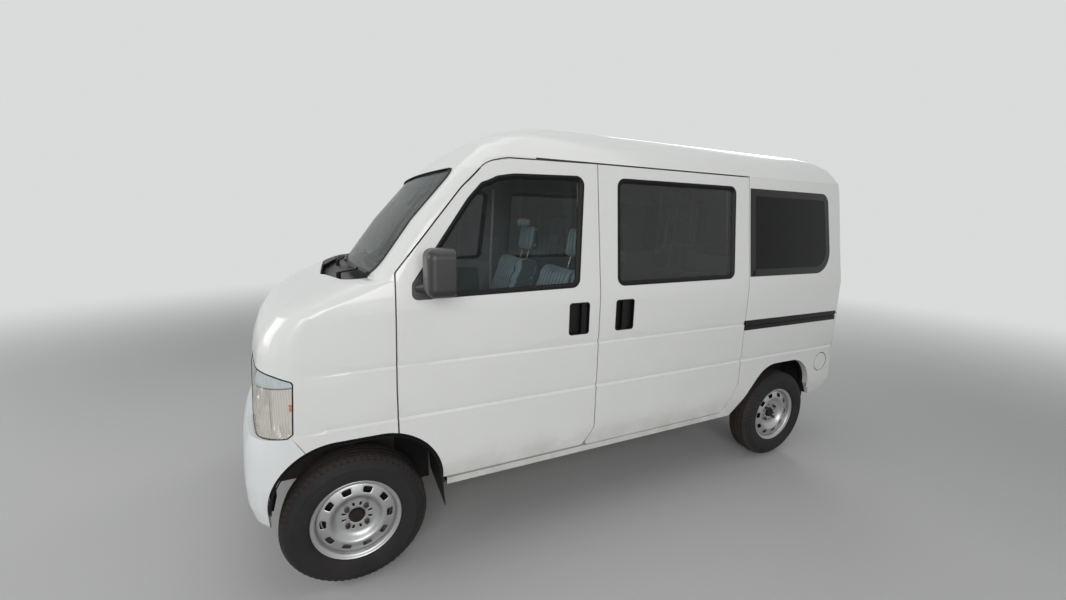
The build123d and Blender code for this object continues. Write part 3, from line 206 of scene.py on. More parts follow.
# Painted body: pressed steel panels in an aged white lacquer, dusty low down.
# Each panel is its CAD form, smoothed, with the pressed lines rolled into its outer face.
def effect_group(name, output, **inputs):
    """A node group with named number inputs and one output, and its two end nodes."""
    group = bpy.data.node_groups.new(name, "ShaderNodeTree")
    for label, value in inputs.items():
        socket = group.interface.new_socket(label, in_out="INPUT", socket_type="NodeSocketFloat")
        socket.default_value = value
    group.interface.new_socket(output, in_out="OUTPUT", socket_type="NodeSocketFloat")
    return group, group.nodes.new("NodeGroupInput"), group.nodes.new("NodeGroupOutput")


def placed(tree, group, **values):
    """An effect's output, with the effect's own values for this material."""
    return add_node(tree, "Group", values, node_tree=group).outputs[0]


def noise(tree, scale, detail, roughness=0.5):
    """Noise on the piece's own coordinates."""
    feeds = {"Vector": add_node(tree, "TexCoord", {}).outputs["Object"], "Scale": scale, "Detail": detail,
             "Roughness": roughness}
    return add_node(tree, "TexNoise", feeds).outputs["Fac"]


def place_parts(tree):
    """A point's place in the van, as X, Y and Z."""
    return add_node(tree, "SeparateXYZ", {0: add_node(tree, "TexCoord", {}).outputs["Object"]}).outputs


def mixed(tree, mask, first, second):
    """A colour between two others, by a mask."""
    feeds = {"Factor": mask, "A": first, "B": second}
    return add_node(tree, "Mix", feeds, data_type="RGBA").outputs["Result"]


def bumped(tree, height, distance, strength=1.0):
    """A normal that leans with a height."""
    feeds = {"Height": height, "Distance": distance, "Strength": strength}
    return add_node(tree, "Bump", feeds).outputs["Normal"]


def make_grain_group():
    """Fine grain: a bump height from noise on the piece's own coordinates."""
    group, entry, leave = effect_group("fine_grain", "Height", Scale=400.0, Height=0.2)
    grain = worked(group, "MULTIPLY", noise(group, entry.outputs["Scale"], 3), entry.outputs["Height"])
    feed_inputs(group, leave, {"Height": grain})
    return group


DUST_FALL = 4.0


def make_dust_group():
    """Road dust: strongest near the ground, broken up by noise, with a trace everywhere."""
    group, entry, leave = effect_group("road_dust", "Mask", Top=0.5, Amount=0.5, Trace=0.05)
    drop = worked(group, "SUBTRACT", entry.outputs["Top"], place_parts(group)["Z"])
    reach = add_node(group, "Math", {0: drop, 1: DUST_FALL}, operation="MULTIPLY", use_clamp=True)
    broken = noise(group, 7, 8, 0.65)
    low = worked(group, "MULTIPLY", reach.outputs[0], ranged(group, broken, 0.35, 0.68))
    trace = worked(group, "MULTIPLY", broken, entry.outputs["Trace"])
    feed_inputs(group, leave, {"Mask": worked(group, "MULTIPLY_ADD", low, entry.outputs["Amount"], trace)})
    return group


fine_grain = make_grain_group()
road_dust = make_dust_group()
DUST = (0.30, 0.26, 0.21)
DUST_DULLING = 0.45
ROUGHEST = 0.95
GRAIN_DEPTH = 0.001


def finish(name, colour, rough, metallic=0.0, coat=0.0, grain=(400, 0.1), dust=(0.45, 0.4, 0.04),
           dust_colour=DUST, mottle=(3.0, 0.04), specular=0.5):
    """A hard surface's material: mottled colour, fine grain and road dust over one shader."""
    material, tree, shader = new_material(name, {
        "Metallic": metallic, "Coat Weight": coat, "Coat Roughness": 0.06, "Specular IOR Level": specular})
    size, depth = mottle
    darker = (*[c * (1 - depth) for c in colour], 1)
    lighter = (*[min(c * (1 + depth), 1) for c in colour], 1)
    tone = mixed(tree, noise(tree, size, 5), darker, lighter)
    dusty = placed(tree, road_dust, Top=dust[0], Amount=dust[1], Trace=dust[2])
    grains = placed(tree, fine_grain, Scale=grain[0], Height=grain[1])
    feed_inputs(tree, shader, {
        "Base Color": mixed(tree, dusty, tone, (*dust_colour, 1)),
        "Roughness": ranged(tree, dusty, 0.0, 1.0, rough, min(rough + DUST_DULLING, ROUGHEST)),
        "Normal": bumped(tree, grains, GRAIN_DEPTH),
    })
    return material


white_paint = finish("white_paint", (0.735, 0.74, 0.715), 0.3, coat=0.55, grain=(260, 0.05),
                     dust=(0.52, 0.55, 0.05), mottle=(2.2, 0.025))
cabin_trim = finish("cabin_trim", (0.30, 0.315, 0.305), 0.6, grain=(900, 0.25), dust=(0.3, 0.0, 0.06))
black_rubber = finish("black_rubber", (0.0045, 0.0045, 0.005), 0.5, grain=(700, 0.2), dust=(0.5, 0.12, 0.006),
                      specular=0.2)
underseal = finish("underseal", (0.009, 0.009, 0.0095), 0.85, grain=(120, 0.8), dust=(0.5, 0.25, 0.05),
                   dust_colour=(0.07, 0.055, 0.045), specular=0.2)

WELD = 0.00002
FINE_WELD = 0.00001
CREASE_ANGLE = math.radians(27)
PANEL_BEVEL = 0.0022
# Pressed lines round the lower body. Columns: top, bottom of the inward slope, lip, all heights in metres
PRESSED_LINES = [
    (0.918, 0.893, 0.885),
    (0.708, 0.683, 0.675),
]
LINE_DEPTH = 0.0075
LINE_END_X = 1.436
LINE_OUTER_Y = 0.725


def cut_plane(bm, place, normal=(0, 0, 1), geom=None):
    """New edges where a flat plane crosses the form, or the given part of it."""
    if geom is None:
        geom = list(bm.verts) + list(bm.edges) + list(bm.faces)
    bmesh.ops.bisect_plane(bm, geom=geom, dist=WELD, plane_co=place, plane_no=normal)


def clamped(value):
    """A value held between nought and one."""
    return min(max(value, 0), 1)


# The front door's upper front corner in side view, which the press draws out into a longer curve.
# The window's corner lies further in than the door's, and further along by the shift.
DOOR_CORNER = Vector((0.7305, 0, 1.680))
DOOR_CORNER_INWARD = Vector((-0.442, 0, -0.897))
DOOR_CORNER_ALONG = Vector((0.897, 0, -0.442))
DOOR_CORNER_PULL = 0.015
DOOR_CORNER_REACH = 0.125
DOOR_CORNER_LOW_Z = 1.25
CUT_SPACING = 0.015
WINDOW_SHIFT = 0.031
WINDOW_DEPTH = 0.05
DOOR_CORNER_NODES = ("front_door_left", "front_door_right", "front_door_glass_left", "front_door_glass_right",
                     "door_seals", "side_frames", "roof_panel")


def eased_corner(bm):
    """Draw in the door's corner and the window's within it, alike in every piece that meets there."""
    for step in range(-9, 12):
        near = [face for face in bm.faces if face.calc_center_median().z > DOOR_CORNER_LOW_Z]
        around = set(near)
        for face in near:
            around.update(face.edges)
            around.update(face.verts)
        place = DOOR_CORNER + DOOR_CORNER_ALONG * (CUT_SPACING * step)
        cut_plane(bm, place, DOOR_CORNER_ALONG, list(around))
    for vert in bm.verts:
        place = Vector((vert.co.x, 0, vert.co.z)) - DOOR_CORNER
        depth = place.dot(DOOR_CORNER_INWARD)
        shift = WINDOW_SHIFT * clamped(depth / WINDOW_DEPTH)
        along = abs(place.dot(DOOR_CORNER_ALONG) - shift) / DOOR_CORNER_REACH
        fade = clamped((depth + 0.07) / 0.07) * clamped((0.30 - depth) / 0.15)
        side = clamped((abs(vert.co.y) - 0.62) / 0.03)
        if along < 1:
            vert.co += DOOR_CORNER_INWARD * (DOOR_CORNER_PULL * (1 - along ** 2) ** 2 * fade * side)


def merged(node):
    """The CAD node's form as one joined skin."""
    bm = bmesh.new()
    bm.from_mesh(frame["nodes"][node].data)
    bmesh.ops.remove_doubles(bm, verts=bm.verts, dist=WELD)
    bmesh.ops.dissolve_degenerate(bm, dist=FINE_WELD, edges=bm.edges)
    if node in DOOR_CORNER_NODES:
        eased_corner(bm)
    return bm


def mark_creases(bm, angle=CREASE_ANGLE):
    """Smooth faces, with sharp edges where the form really turns."""
    for face in bm.faces:
        face.smooth = True
    for edge in bm.edges:
        edge.smooth = edge.is_manifold and edge.calc_face_angle(0) < angle


def settle(piece, body, slot, *nodes):
    """Carry a piece on its body, and hide the CAD nodes that it stands for. The slot is not used."""
    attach(piece, body)
    if nodes:
        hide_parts(*nodes)
    return piece


PANE_MARGIN = 0.004


def near_pane(face, pane_low, pane_high):
    """Whether a face is a cut wall round a pane."""
    place = face.calc_center_median()
    span = all(pane_low[i] - PANE_MARGIN < place[i] < pane_high[i] + PANE_MARGIN for i in (0, 2))
    return span and abs(face.normal.y) < 0.6


# Wheel arches in side view. Columns: middle along the van, height, reach, half width where black begins
ARCHES = [
    (1.2675, 0.271, 0.42, 0.7275),
    (-1.1525, 0.271, 0.47, 0.705),
]
ARCH_WALL_Y = 0.70
ARCH_TOP_Z = 0.745


def blackened_arches(bm):
    """Underseal on every face that looks into a wheel arch."""
    for _, _, _, half in ARCHES:
        for side in (1, -1):
            cut_plane(bm, (0, side * half, 0), (0, 1, 0))
    for face in bm.faces:
        place = face.calc_center_median()
        for middle, height, reach, half in ARCHES:
            near = math.hypot(place.x - middle, place.z - height) < reach
            inward = abs(place.y) < ARCH_WALL_Y or abs(face.normal.y) < 0.8
            if near and abs(place.y) < half and inward and place.z < ARCH_TOP_Z:
                face.material_index = 3


CABIN_SIDE_Y = 0.55
CABIN_END_X = 1.45
CEILING_Z = 1.55


def looks_inward(face):
    """Whether a panel's face looks into the cabin."""
    place = face.calc_center_median()
    inward_side = face.normal.y * math.copysign(1, place.y) < -0.3 and abs(place.y) > CABIN_SIDE_Y
    inward_end = face.normal.x * math.copysign(1, place.x) < -0.5 and abs(place.x) > CABIN_END_X
    return inward_side or inward_end or (face.normal.z < -0.4 and place.z > CEILING_Z)


def press_lines(bm):
    """The pressed lines, each a slope inwards over a lip, in the outer face of the lower body."""
    for top, slope, lip in PRESSED_LINES:
        for height in (top, slope, lip):
            cut_plane(bm, (0, 0, height))
        for vert in bm.verts:
            outer = abs(vert.co.y) > LINE_OUTER_Y and vert.co.x < LINE_END_X
            if abs(vert.co.z - slope) < 0.0001 and outer:
                vert.co.y -= math.copysign(LINE_DEPTH, vert.co.y)


def dressed(node, material, slot, inner=None, lines=False, bevel=PANEL_BEVEL, pane=None, arches=False):
    """A rigid CAD node's smoothed copy with real edges, in place of the node."""
    bm = merged(node)
    if lines:
        press_lines(bm)
    if inner is not None:
        for face in bm.faces:
            if looks_inward(face):
                face.material_index = 1
    if pane:
        pane_low, pane_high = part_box(pane)
        for face in bm.faces:
            if near_pane(face, pane_low, pane_high):
                face.material_index = 2
    if arches:
        blackened_arches(bm)
    mark_creases(bm)
    piece = mesh_piece(node + "_skin", bm, material, inner or material, black_rubber, underseal)
    if bevel:
        rolled = piece.modifiers.new("rolled_edges", "BEVEL")
        rolled.width = bevel
        rolled.segments = 2
        rolled.limit_method = "ANGLE"
        rolled.angle_limit = math.radians(40)
        rolled.harden_normals = False
    weighted = piece.modifiers.new("even_shading", "WEIGHTED_NORMAL")
    weighted.keep_sharp = True
    return settle(piece, frame["nodes"][node]["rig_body"], slot, node)


for side in ("left", "right"):
    dressed("front_door_" + side, white_paint, "white_paint", cabin_trim, lines=True,
            pane="front_door_glass_" + side)
    dressed("sliding_door_" + side, white_paint, "white_paint", cabin_trim, lines=True,
            pane="sliding_door_glass")
for node in ("quarter_panels", "nose_panel"):
    dressed(node, white_paint, "white_paint", cabin_trim, lines=True, arches=True)
dressed("side_frames", white_paint, "white_paint", cabin_trim, arches=True)
for node in ("roof_panel", "rear_frame", "tailgate", "front_lid", "fuel_lid"):
    dressed(node, white_paint, "white_paint", cabin_trim)

# Bumpers: moulded in white plastic, a little bluer and duller than the steel beside them.
# They are their CAD forms with rolled edges.
white_plastic = finish("white_plastic", (0.72, 0.745, 0.75), 0.36, coat=0.35, grain=(300, 0.08),
                       dust=(0.5, 0.5, 0.05), mottle=(2.6, 0.03))
for node in ("front_bumper", "rear_bumper"):
    dressed(node, white_plastic, "white_plastic")

# Door and tailgate seals: sponge rubber tube along the frames.
# They are their CAD forms, too thin for a bevel.
for node in ("door_seals", "tailgate_seal"):
    dressed(node, black_rubber, "rubber", bevel=0)


# Glass: toughened panes with a smoky green tint, sealed at the sides and tailgate by rubber channels.
# The panes are their CAD forms, and each rubber is raised in steps from its pane's outer face.
def pane_glass(name, tint, alpha, ior):
    """Tinted glass with a thin uneven film of dirt."""
    material, tree, shader = new_material(name, {
        "Roughness": 0.0, "IOR": ior, "Transmission Weight": 1.0, "Alpha": alpha})
    film = mixed(tree, noise(tree, 4, 6), (*tint, 1), (*[c * 0.9 for c in tint], 1))
    feed_inputs(tree, shader, {"Base Color": film})
    return material


side_glass = pane_glass("side_glass", (0.025, 0.04, 0.045), 0.28, 1.6)
slide_glass = pane_glass("slide_glass", (0.06, 0.085, 0.075), 0.52, 1.65)
rear_glass = pane_glass("rear_glass", (0.003, 0.004, 0.004), 0.96, 1.27)
clear_glass = pane_glass("windshield_glass", (0.42, 0.50, 0.47), 0.42, 1.7)
for node, glass in (("front_door_glass_left", side_glass), ("front_door_glass_right", side_glass),
                    ("sliding_door_glass", slide_glass), ("quarter_glass", rear_glass),
                    ("tailgate_glass", rear_glass), ("windshield", clear_glass)):
    dressed(node, glass, "glass", bevel=0)


def only(kind, items):
    """The vertices or edges among what an operator gives back."""
    return [item for item in items if isinstance(item, kind)]


def edge_rings(bm):
    """The closed rings of a bmesh that has only edges, each as its points in order."""
    seen = set()
    rings = []
    for start in list(bm.verts):
        if start in seen:
            continue
        ring = [start]
        before = None
        here = start
        while True:
            ahead = [edge.other_vert(here) for edge in here.link_edges if edge.other_vert(here) is not before]
            if not ahead or ahead[0] is start:
                break
            before, here = here, ahead[0]
            ring.append(here)
        seen.update(ring)
        rings.append(ring)
    return rings


def outer_edge(node, outward):
    """A pane's outer edge as bare rings. Each point keeps the ways out of the glass and in to its middle."""
    bm = merged(node)
    inside = [face for face in bm.faces if face.normal.dot(outward(face)) < 0.55]
    bmesh.ops.delete(bm, geom=inside, context="FACES")
    bm.normal_update()
    out_layer = bm.verts.layers.float_vector.new("out")
    in_layer = bm.verts.layers.float_vector.new("in")
    for vert in bm.verts:
        vert[out_layer] = vert.normal
    bmesh.ops.delete(bm, geom=list(bm.faces), context="FACES_KEEP_BOUNDARY")
    bmesh.ops.remove_doubles(bm, verts=bm.verts, dist=0.0015)
    for ring in edge_rings(bm):
        middle = sum((vert.co for vert in ring), Vector()) / len(ring)
        for index, vert in enumerate(ring):
            before = (vert.co - ring[index - 1].co).normalized()
            after = (ring[(index + 1) % len(ring)].co - vert.co).normalized()
            ways = []
            for run in (before, after):
                across = run.cross(vert[out_layer]).normalized()
                ways.append(across if across.dot(middle - vert.co) > 0 else -across)
            way = (ways[0] + ways[1]).normalized()
            vert[in_layer] = way / max(way.dot(ways[0]), 0.6)
    return bm, out_layer, in_layer


def raised_border(node, outward, lift, steps, wall, lap=0.0):
    """A closed border round a pane, carried in and down towards the glass in steps of width and fall."""
    bm, out_layer, in_layer = outer_edge(node, outward)
    home_layer = bm.verts.layers.float_vector.new("home")
    for vert in bm.verts:
        vert.co += vert[out_layer] * lift - vert[in_layer] * lap
        vert[home_layer] = vert.co - vert[out_layer] * wall
    first = list(bm.edges)
    ring = first
    for width, fall in steps:
        made = bmesh.ops.extrude_edge_only(bm, edges=ring)
        ring = only(bmesh.types.BMEdge, made["geom"])
        for vert in {vert for edge in ring for vert in edge.verts}:
            vert.co += vert[in_layer] * width - vert[out_layer] * fall
    for edges in (ring, first):
        made = bmesh.ops.extrude_edge_only(bm, edges=edges)
        for vert in only(bmesh.types.BMVert, made["geom"]):
            vert.co = vert[home_layer]
    bmesh.ops.remove_doubles(bm, verts=bm.verts, dist=0.00005)
    bmesh.ops.recalc_face_normals(bm, faces=bm.faces)
    mark_creases(bm)
    return bm


def outward_side(face):
    """The way out of the van at a pane in its side."""
    return Vector((0, math.copysign(1, face.calc_center_median().y), 0))


def outward_back(face):
    """The way out of the van at its tailgate."""
    return Vector((-1, 0, 0))


def outward_front(face):
    """The way out of the van at its windshield."""
    return Vector((0.8, 0, 0.6))


# Steps of the rubber channel from its outer edge. Columns: width, fall
RUBBER_STEPS = [(0.009, 0.0), (0.004, 0.0032), (0.0075, 0.005), (0.0008, 0.0018)]
RUBBER_LIFT = 0.0095
RUBBER_WALL = 0.009
for name, pane, outward, body in (
        ("front_window_rubber_left", "front_door_glass_left", outward_side, "front_door_left"),
        ("front_window_rubber_right", "front_door_glass_right", outward_side, "front_door_right"),
        ("sliding_window_rubbers", "sliding_door_glass", outward_side, "body"),
        ("tailgate_window_rubber", "tailgate_glass", outward_back, "tailgate")):
    ring = raised_border(pane, outward, RUBBER_LIFT, RUBBER_STEPS, RUBBER_WALL)
    settle(mesh_piece(name, ring, black_rubber), body, "rubber")

printed_border = finish("printed_border", (0.003, 0.003, 0.0035), 0.12, coat=0.1, grain=(300, 0.02),
                        dust=(0.5, 0.1, 0.005), specular=0.3)
PRINT_STEPS = [(0.004, 0.0), (0.036, 0.0)]
ring = raised_border("quarter_glass", outward_side, 0.0008, PRINT_STEPS, 0.0006)
settle(mesh_piece("quarter_glass_borders", ring, printed_border), "body", "glass")

GASKET_STEPS = [(0.014, 0.0), (0.005, 0.0025), (0.0006, 0.0012)]
ring = raised_border("windshield", outward_front, 0.003, GASKET_STEPS, 0.0028, lap=0.004)
settle(mesh_piece("windshield_gasket", ring, black_rubber), "body", "rubber")

# Underside: floor, rails, axles and suspension under black chassis paint, dull with road dirt and rust,
# and a cast engine block. All are their CAD forms.
chassis_black = finish("chassis_black", (0.025, 0.025, 0.026), 0.62, grain=(300, 0.5), dust=(0.75, 0.45, 0.2),
                       dust_colour=(0.10, 0.065, 0.045), mottle=(14, 0.3))
for node in ("floor_pan", "underframe", "front_suspension", "knuckle_left", "knuckle_right", "rear_axle",
             "exhaust", "fuel_tank"):
    dressed(node, chassis_black, "under_metal")
engine_metal = finish("engine_metal", (0.24, 0.24, 0.225), 0.5, metallic=0.9, grain=(160, 0.6),
                      dust=(0.7, 0.5, 0.2), mottle=(9, 0.2))
dressed("engine", engine_metal, "engine_metal")

# Black mouldings: mirrors, handles, cowl, wipers, steering wheel and slide rails in grained plastic, with the
# grey dashboard. They are their CAD forms, with small rolled edges on the black ones.
black_plastic = finish("black_plastic", (0.005, 0.0045, 0.005), 0.4, grain=(1100, 0.3),
                       dust=(0.4, 0.15, 0.008), specular=0.25)
# The mirror heads' plastic is paler than the other black plastic: partly their own dark grey, partly a painted sheen.
mirror_sheen_plastic = finish("mirror_sheen_plastic", (0.021, 0.0185, 0.02), 0.34, grain=(1100, 0.3), dust=(0.4, 0.2, 0.03),
                       specular=0.5, mottle=(7, 0.25))
for node in ("cowl_grille", "door_handle_left", "door_handle_right", "sliding_door_handles", "wipers",
             "steering_wheel"):
    dressed(node, black_plastic, "black_plastic", bevel=0.001)
for node in ("mirror_left", "mirror_right"):
    dressed(node, mirror_sheen_plastic, "black_plastic", bevel=0.001)
dressed("slide_rails", black_plastic, "rail_steel", bevel=0.0005)
dressed("dashboard", cabin_trim, "grey_trim")

# Road wheels: pressed steel discs in barrels, painted silver, with ten vents, four nuts and a dark hub.
# Half sections are turned about the axle, and the vents and holes are cut out of the turned faces.
WHEEL_SEGMENTS = 60
# Barrel section from the inboard flange to the outboard one. Columns: radius, distance out, in millimetres
BARREL = [
    (166, -56), (163, -55.5), (154, -51), (151, -48), (151, -30), (136, -16), (136, 8), (150.5, 20),
    (150.5, 46), (153, 50.5), (160, 52.5), (164.5, 54), (166.3, 56.5),
]
# Disc section from the barrel to the hub bore, and hub section, same columns
DISC = [
    (149, 20), (149, 28), (146, 33), (139, 36), (136, 37), (127, 40), (118, 42.5), (109, 44.5), (105, 45.2),
    (100, 44.5), (95, 40.5), (88, 32), (81, 26), (73, 22.5), (66, 21.5), (59, 21.2), (50, 21.2), (41, 21.2),
    (34, 21), (30.5, 19.5), (29.5, 16), (29.5, 6),
]
HUB = [
    (128, -41), (128, 2), (124, 7), (62, 12), (57, 15), (33, 16), (26.5, 16), (26.5, 30), (23, 34.5),
    (14, 36), (0.1, 36.3),
]
VENT_INNER = 0.109
VENT_OUTER = 0.136
HOLE_INNER = 0.042
HOLE_OUTER = 0.058
HOLE_HALF_ANGLE = math.radians(8.9)
FACE_HALF_STEP = math.radians(3)
NUT_CIRCLE = 0.05
NUT_START = math.radians(45)
WHEEL_SHEET = 0.0034


def spun(points, centre, axis, segments):
    """A sheet turned about an axis from the points of its section."""
    bm = bmesh.new()
    ring = [bm.verts.new(point) for point in points]
    edges = [bm.edges.new(pair) for pair in zip(ring, ring[1:])]
    bmesh.ops.spin(bm, geom=ring + edges, cent=centre, axis=axis, angle=2 * math.pi, steps=segments,
                   use_merge=True)
    bmesh.ops.remove_doubles(bm, verts=bm.verts, dist=FINE_WELD)
    bmesh.ops.recalc_face_normals(bm, faces=bm.faces)
    return bm


def turned(section, centre, side, segments):
    """A sheet turned about an axle from a section of radius and distance outwards."""
    points = [(centre.x, centre.y + side * out / 1000, centre.z + radius / 1000) for radius, out in section]
    return spun(points, centre, (0, 1, 0), segments)


def polar(face, centre):
    """A face's radius and angle about the axle."""
    place = face.calc_center_median() - centre
    return math.hypot(place.x, place.z), math.atan2(place.z, place.x)


def pierced(bm, centre, low, high, angles, rim, dish, soften):
    """Round-cornered holes in a turned disc: faces near each angle inset, dished a little and taken out."""
    for angle in angles:
        patch = []
        for face in bm.faces:
            radius, turn = polar(face, centre)
            apart = abs((turn - angle + math.pi) % (2 * math.pi) - math.pi)
            if low < radius < high and apart < HOLE_HALF_ANGLE:
                patch.append(face)
        bmesh.ops.inset_region(bm, faces=patch, thickness=rim, depth=-dish, use_even_offset=True)
        corners = [vert for face in patch for vert in face.verts]
        bmesh.ops.smooth_vert(bm, verts=list(set(corners)), factor=soften, use_axis_x=True, use_axis_y=True,
                              use_axis_z=True)
        bmesh.ops.delete(bm, geom=patch, context="FACES")


def add_part(bm, other):
    """Another bmesh's faces, joined into the first."""
    spare = bpy.data.meshes.new("spare")
    other.to_mesh(spare)
    other.free()
    bm.from_mesh(spare)
    bpy.data.meshes.remove(spare)


def stud_and_nut(centre, side, angle):
    """One hexagon nut on its stud."""
    out = Matrix.Translation(centre) @ Matrix.Rotation(-side * math.pi / 2, 4, "X")
    spot = Matrix.Translation((NUT_CIRCLE * math.cos(angle), 0, NUT_CIRCLE * math.sin(angle)))
    nut = bmesh.new()
    bmesh.ops.create_cone(nut, cap_ends=True, segments=6, radius1=0.011, radius2=0.0104, depth=0.012,
                          matrix=spot @ out @ Matrix.Translation((0, 0, 0.0275)))
    bmesh.ops.bevel(nut, geom=list(nut.edges), offset=0.0012, affect="EDGES", segments=1, profile=0.5,
                    material=-1)
    stud = bmesh.new()
    bmesh.ops.create_cone(stud, cap_ends=True, segments=12, radius1=0.0055, radius2=0.005, depth=0.02,
                          matrix=spot @ out @ Matrix.Translation((0, 0, 0.03)))
    add_part(nut, stud)
    return nut


steel_silver = finish("steel_silver", (0.47, 0.475, 0.48), 0.33, metallic=0.75, coat=0.25, grain=(600, 0.2),
                      dust=(0.6, 0.14, 0.08), mottle=(12, 0.08))
hub_rust = finish("hub_rust", (0.013, 0.011, 0.0105), 0.75, metallic=0.2, grain=(350, 0.6),
                  dust=(0.6, 0.12, 0.1), dust_colour=(0.06, 0.035, 0.025), mottle=(60, 0.5), specular=0.3)
nut_steel = finish("nut_steel", (0.045, 0.04, 0.038), 0.4, metallic=0.8, grain=(500, 0.4), mottle=(90, 0.5))


def road_wheel(corner, centre, side):
    """Barrel, pierced disc, nuts and hub of one wheel."""
    body = "wheel_" + corner
    disc = turned(DISC, centre, side, WHEEL_SEGMENTS)
    vents = [index * math.pi / 5 + FACE_HALF_STEP for index in range(10)]
    pierced(disc, centre, VENT_INNER, VENT_OUTER, vents, 0.0016, 0.0008, 0.5)
    holes = [NUT_START + math.radians(offset + 90 * index) + FACE_HALF_STEP
             for index in range(4) for offset in (30, 60)]
    pierced(disc, centre, HOLE_INNER, HOLE_OUTER, holes, 0.0004, 0.0003, 0.12)
    add_part(disc, turned(BARREL, centre, side, WHEEL_SEGMENTS))
    mark_creases(disc, math.radians(50))
    wheel = mesh_piece("road_wheel_" + corner, disc, steel_silver)
    wall = wheel.modifiers.new("sheet", "SOLIDIFY")
    wall.thickness = WHEEL_SHEET
    wall.offset = 0
    rounder = wheel.modifiers.new("pressed_curves", "SUBSURF")
    rounder.levels = 1
    rounder.render_levels = 1
    settle(wheel, body, "wheel_paint", body)
    nuts = bmesh.new()
    for index in range(4):
        add_part(nuts, stud_and_nut(centre, side, NUT_START + index * math.pi / 2))
    settle(mesh_piece("wheel_nuts_" + corner, nuts, nut_steel), body, "wheel_paint")
    hub = turned(HUB, centre, side, 36)
    mark_creases(hub)
    settle(mesh_piece("wheel_hub_" + corner, hub, hub_rust), body, "under_metal")


# Tyres: worn commercial radials, with ribbed sidewalls, four tread grooves and notched shoulders.
# A half section is turned about the axle, and the shoulder notches are pressed into its faces.
TYRE_SEGMENTS = 132
# Half of the section from the bead to the middle of the tread. Columns: radius, distance from the middle
TYRE_HALF = [
    (154, 49.5), (164, 51.5), (170, 58.5), (174, 62.8), (178, 65.2), (180.5, 65.6), (181.5, 66.8),
    (185, 67.6), (196, 70.0), (208, 70.9), (220, 70.2), (222, 71.0), (225, 70.8), (227, 69.4), (238, 66.4), (247, 62.6),
    (254, 58.4), (258.5, 55.0), (264, 50.2), (267, 46.0), (268.4, 42.0), (268.8, 37.0), (262.5, 36.0),
    (262.5, 32.0), (269.2, 31.0), (270.2, 22.0), (270.4, 15.0), (264, 14.0), (264, 10.0), (270.7, 9.0),
    (271, 0),
]
NOTCH_LOW = 0.2555
NOTCH_INNER = 0.042
NOTCH_OUTER = 0.0572
NOTCH_DEPTH = 0.0032
TREAD_LOW = 0.2545

tyre_rubber = finish("tyre_rubber", (0.0125, 0.012, 0.0125), 0.72, grain=(300, 0.5), dust=(0.6, 0.05, 0.05),
                     dust_colour=(0.13, 0.10, 0.085), mottle=(18, 0.25), specular=0.3)
tread_rubber = finish("tread_rubber", (0.022, 0.019, 0.018), 0.85, grain=(260, 0.6), dust=(0.6, 0.12, 0.12),
                      dust_colour=(0.17, 0.125, 0.10), mottle=(30, 0.35), specular=0.25)


def road_tyre(corner, centre, side):
    """One tyre, notched on both shoulders."""
    section = TYRE_HALF + [(radius, -out) for radius, out in reversed(TYRE_HALF[:-1])]
    bm = turned(section, centre, side, TYRE_SEGMENTS)
    step = 2 * math.pi / TYRE_SEGMENTS
    notches = {}
    for face in bm.faces:
        radius, turn = polar(face, centre)
        across = face.calc_center_median().y - centre.y
        place = int((turn + math.pi) / step)
        if radius > NOTCH_LOW and NOTCH_INNER < abs(across) < NOTCH_OUTER and place % 2:
            notches.setdefault((place, across > 0), []).append(face)
    for patch in notches.values():
        bmesh.ops.inset_region(bm, faces=patch, thickness=0.0034, depth=-NOTCH_DEPTH, use_even_offset=True)
    for face in bm.faces:
        if polar(face, centre)[0] > TREAD_LOW:
            face.material_index = 1
    mark_creases(bm)
    tyre = mesh_piece("road_tyre_" + corner, bm, tyre_rubber, tread_rubber)
    settle(tyre, "wheel_" + corner, "tyre", "tyre_" + corner)


for corner in ("front_left", "front_right", "rear_left", "rear_right"):
    low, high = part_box("tyre_" + corner)
    centre = (low + high) / 2
    side = 1 if corner.endswith("left") else -1
    road_wheel(corner, centre, side)
    road_tyre(corner, centre, side)

# Headlamps: hazed lenses with upright flutes over a bright pan, a clearer turn lamp on top and an amber
# marker at the rear edge, with painted shade in the flute valleys and along the bowl's side.
# The lens and the pan both start from the outer face of the CAD node.
LENS_WALL = 0.003
PAN_DEPTH = 0.048
PAN_MIDDLE_Y = 0.6
PAN_MIDDLE_Z = 0.8
PAN_DRAW = 0.05
RIM_DEPTH = 0.0045
TURN_LAMP_Z = 0.862
TURN_LAMP_FRONT_X = 1.575
TURN_LAMP_LEAN = -0.5
DIVIDER_WIDTH = 0.005
MARKER_LOW_Z = 0.775
MARKER_HIGH_Z = 0.802
MARKER_FRONT_X = 1.4585
FLUTE_PITCH = 0.0105
FLUTE_DEPTH = 0.0012
PAN_FLUTE_PITCH = 0.024


def band_mask(tree, value, low, high):
    """One where a value lies between two limits."""
    above = worked(tree, "GREATER_THAN", value, low)
    return worked(tree, "MULTIPLY", above, worked(tree, "LESS_THAN", value, high))


def layered_colour(tree, base, layers):
    """A colour with others laid over it, each by its own mask."""
    current = (*base, 1)
    for colour, mask in layers:
        current = mixed(tree, mask, current, (*colour, 1))
    return current


def waves(tree, along, pitch):
    """A sine that repeats at a pitch."""
    return worked(tree, "SINE", worked(tree, "MULTIPLY", along, 2 * math.pi / pitch))


def flute_bump(tree, shader, pitch, along, strength):
    """Rounded flutes across a lens, from a sine of the distance along it, and the sine itself."""
    wave = waves(tree, along, pitch)
    feed_inputs(tree, shader, {"Normal": bumped(tree, wave, FLUTE_DEPTH, strength)})
    return wave


def lamp_coordinates(tree):
    """Height, place along the van, and distance round the lamp's corner."""
    place = place_parts(tree)
    around = worked(tree, "SUBTRACT", worked(tree, "ABSOLUTE", place["Y"]), place["X"])
    return place["Z"], place["X"], around


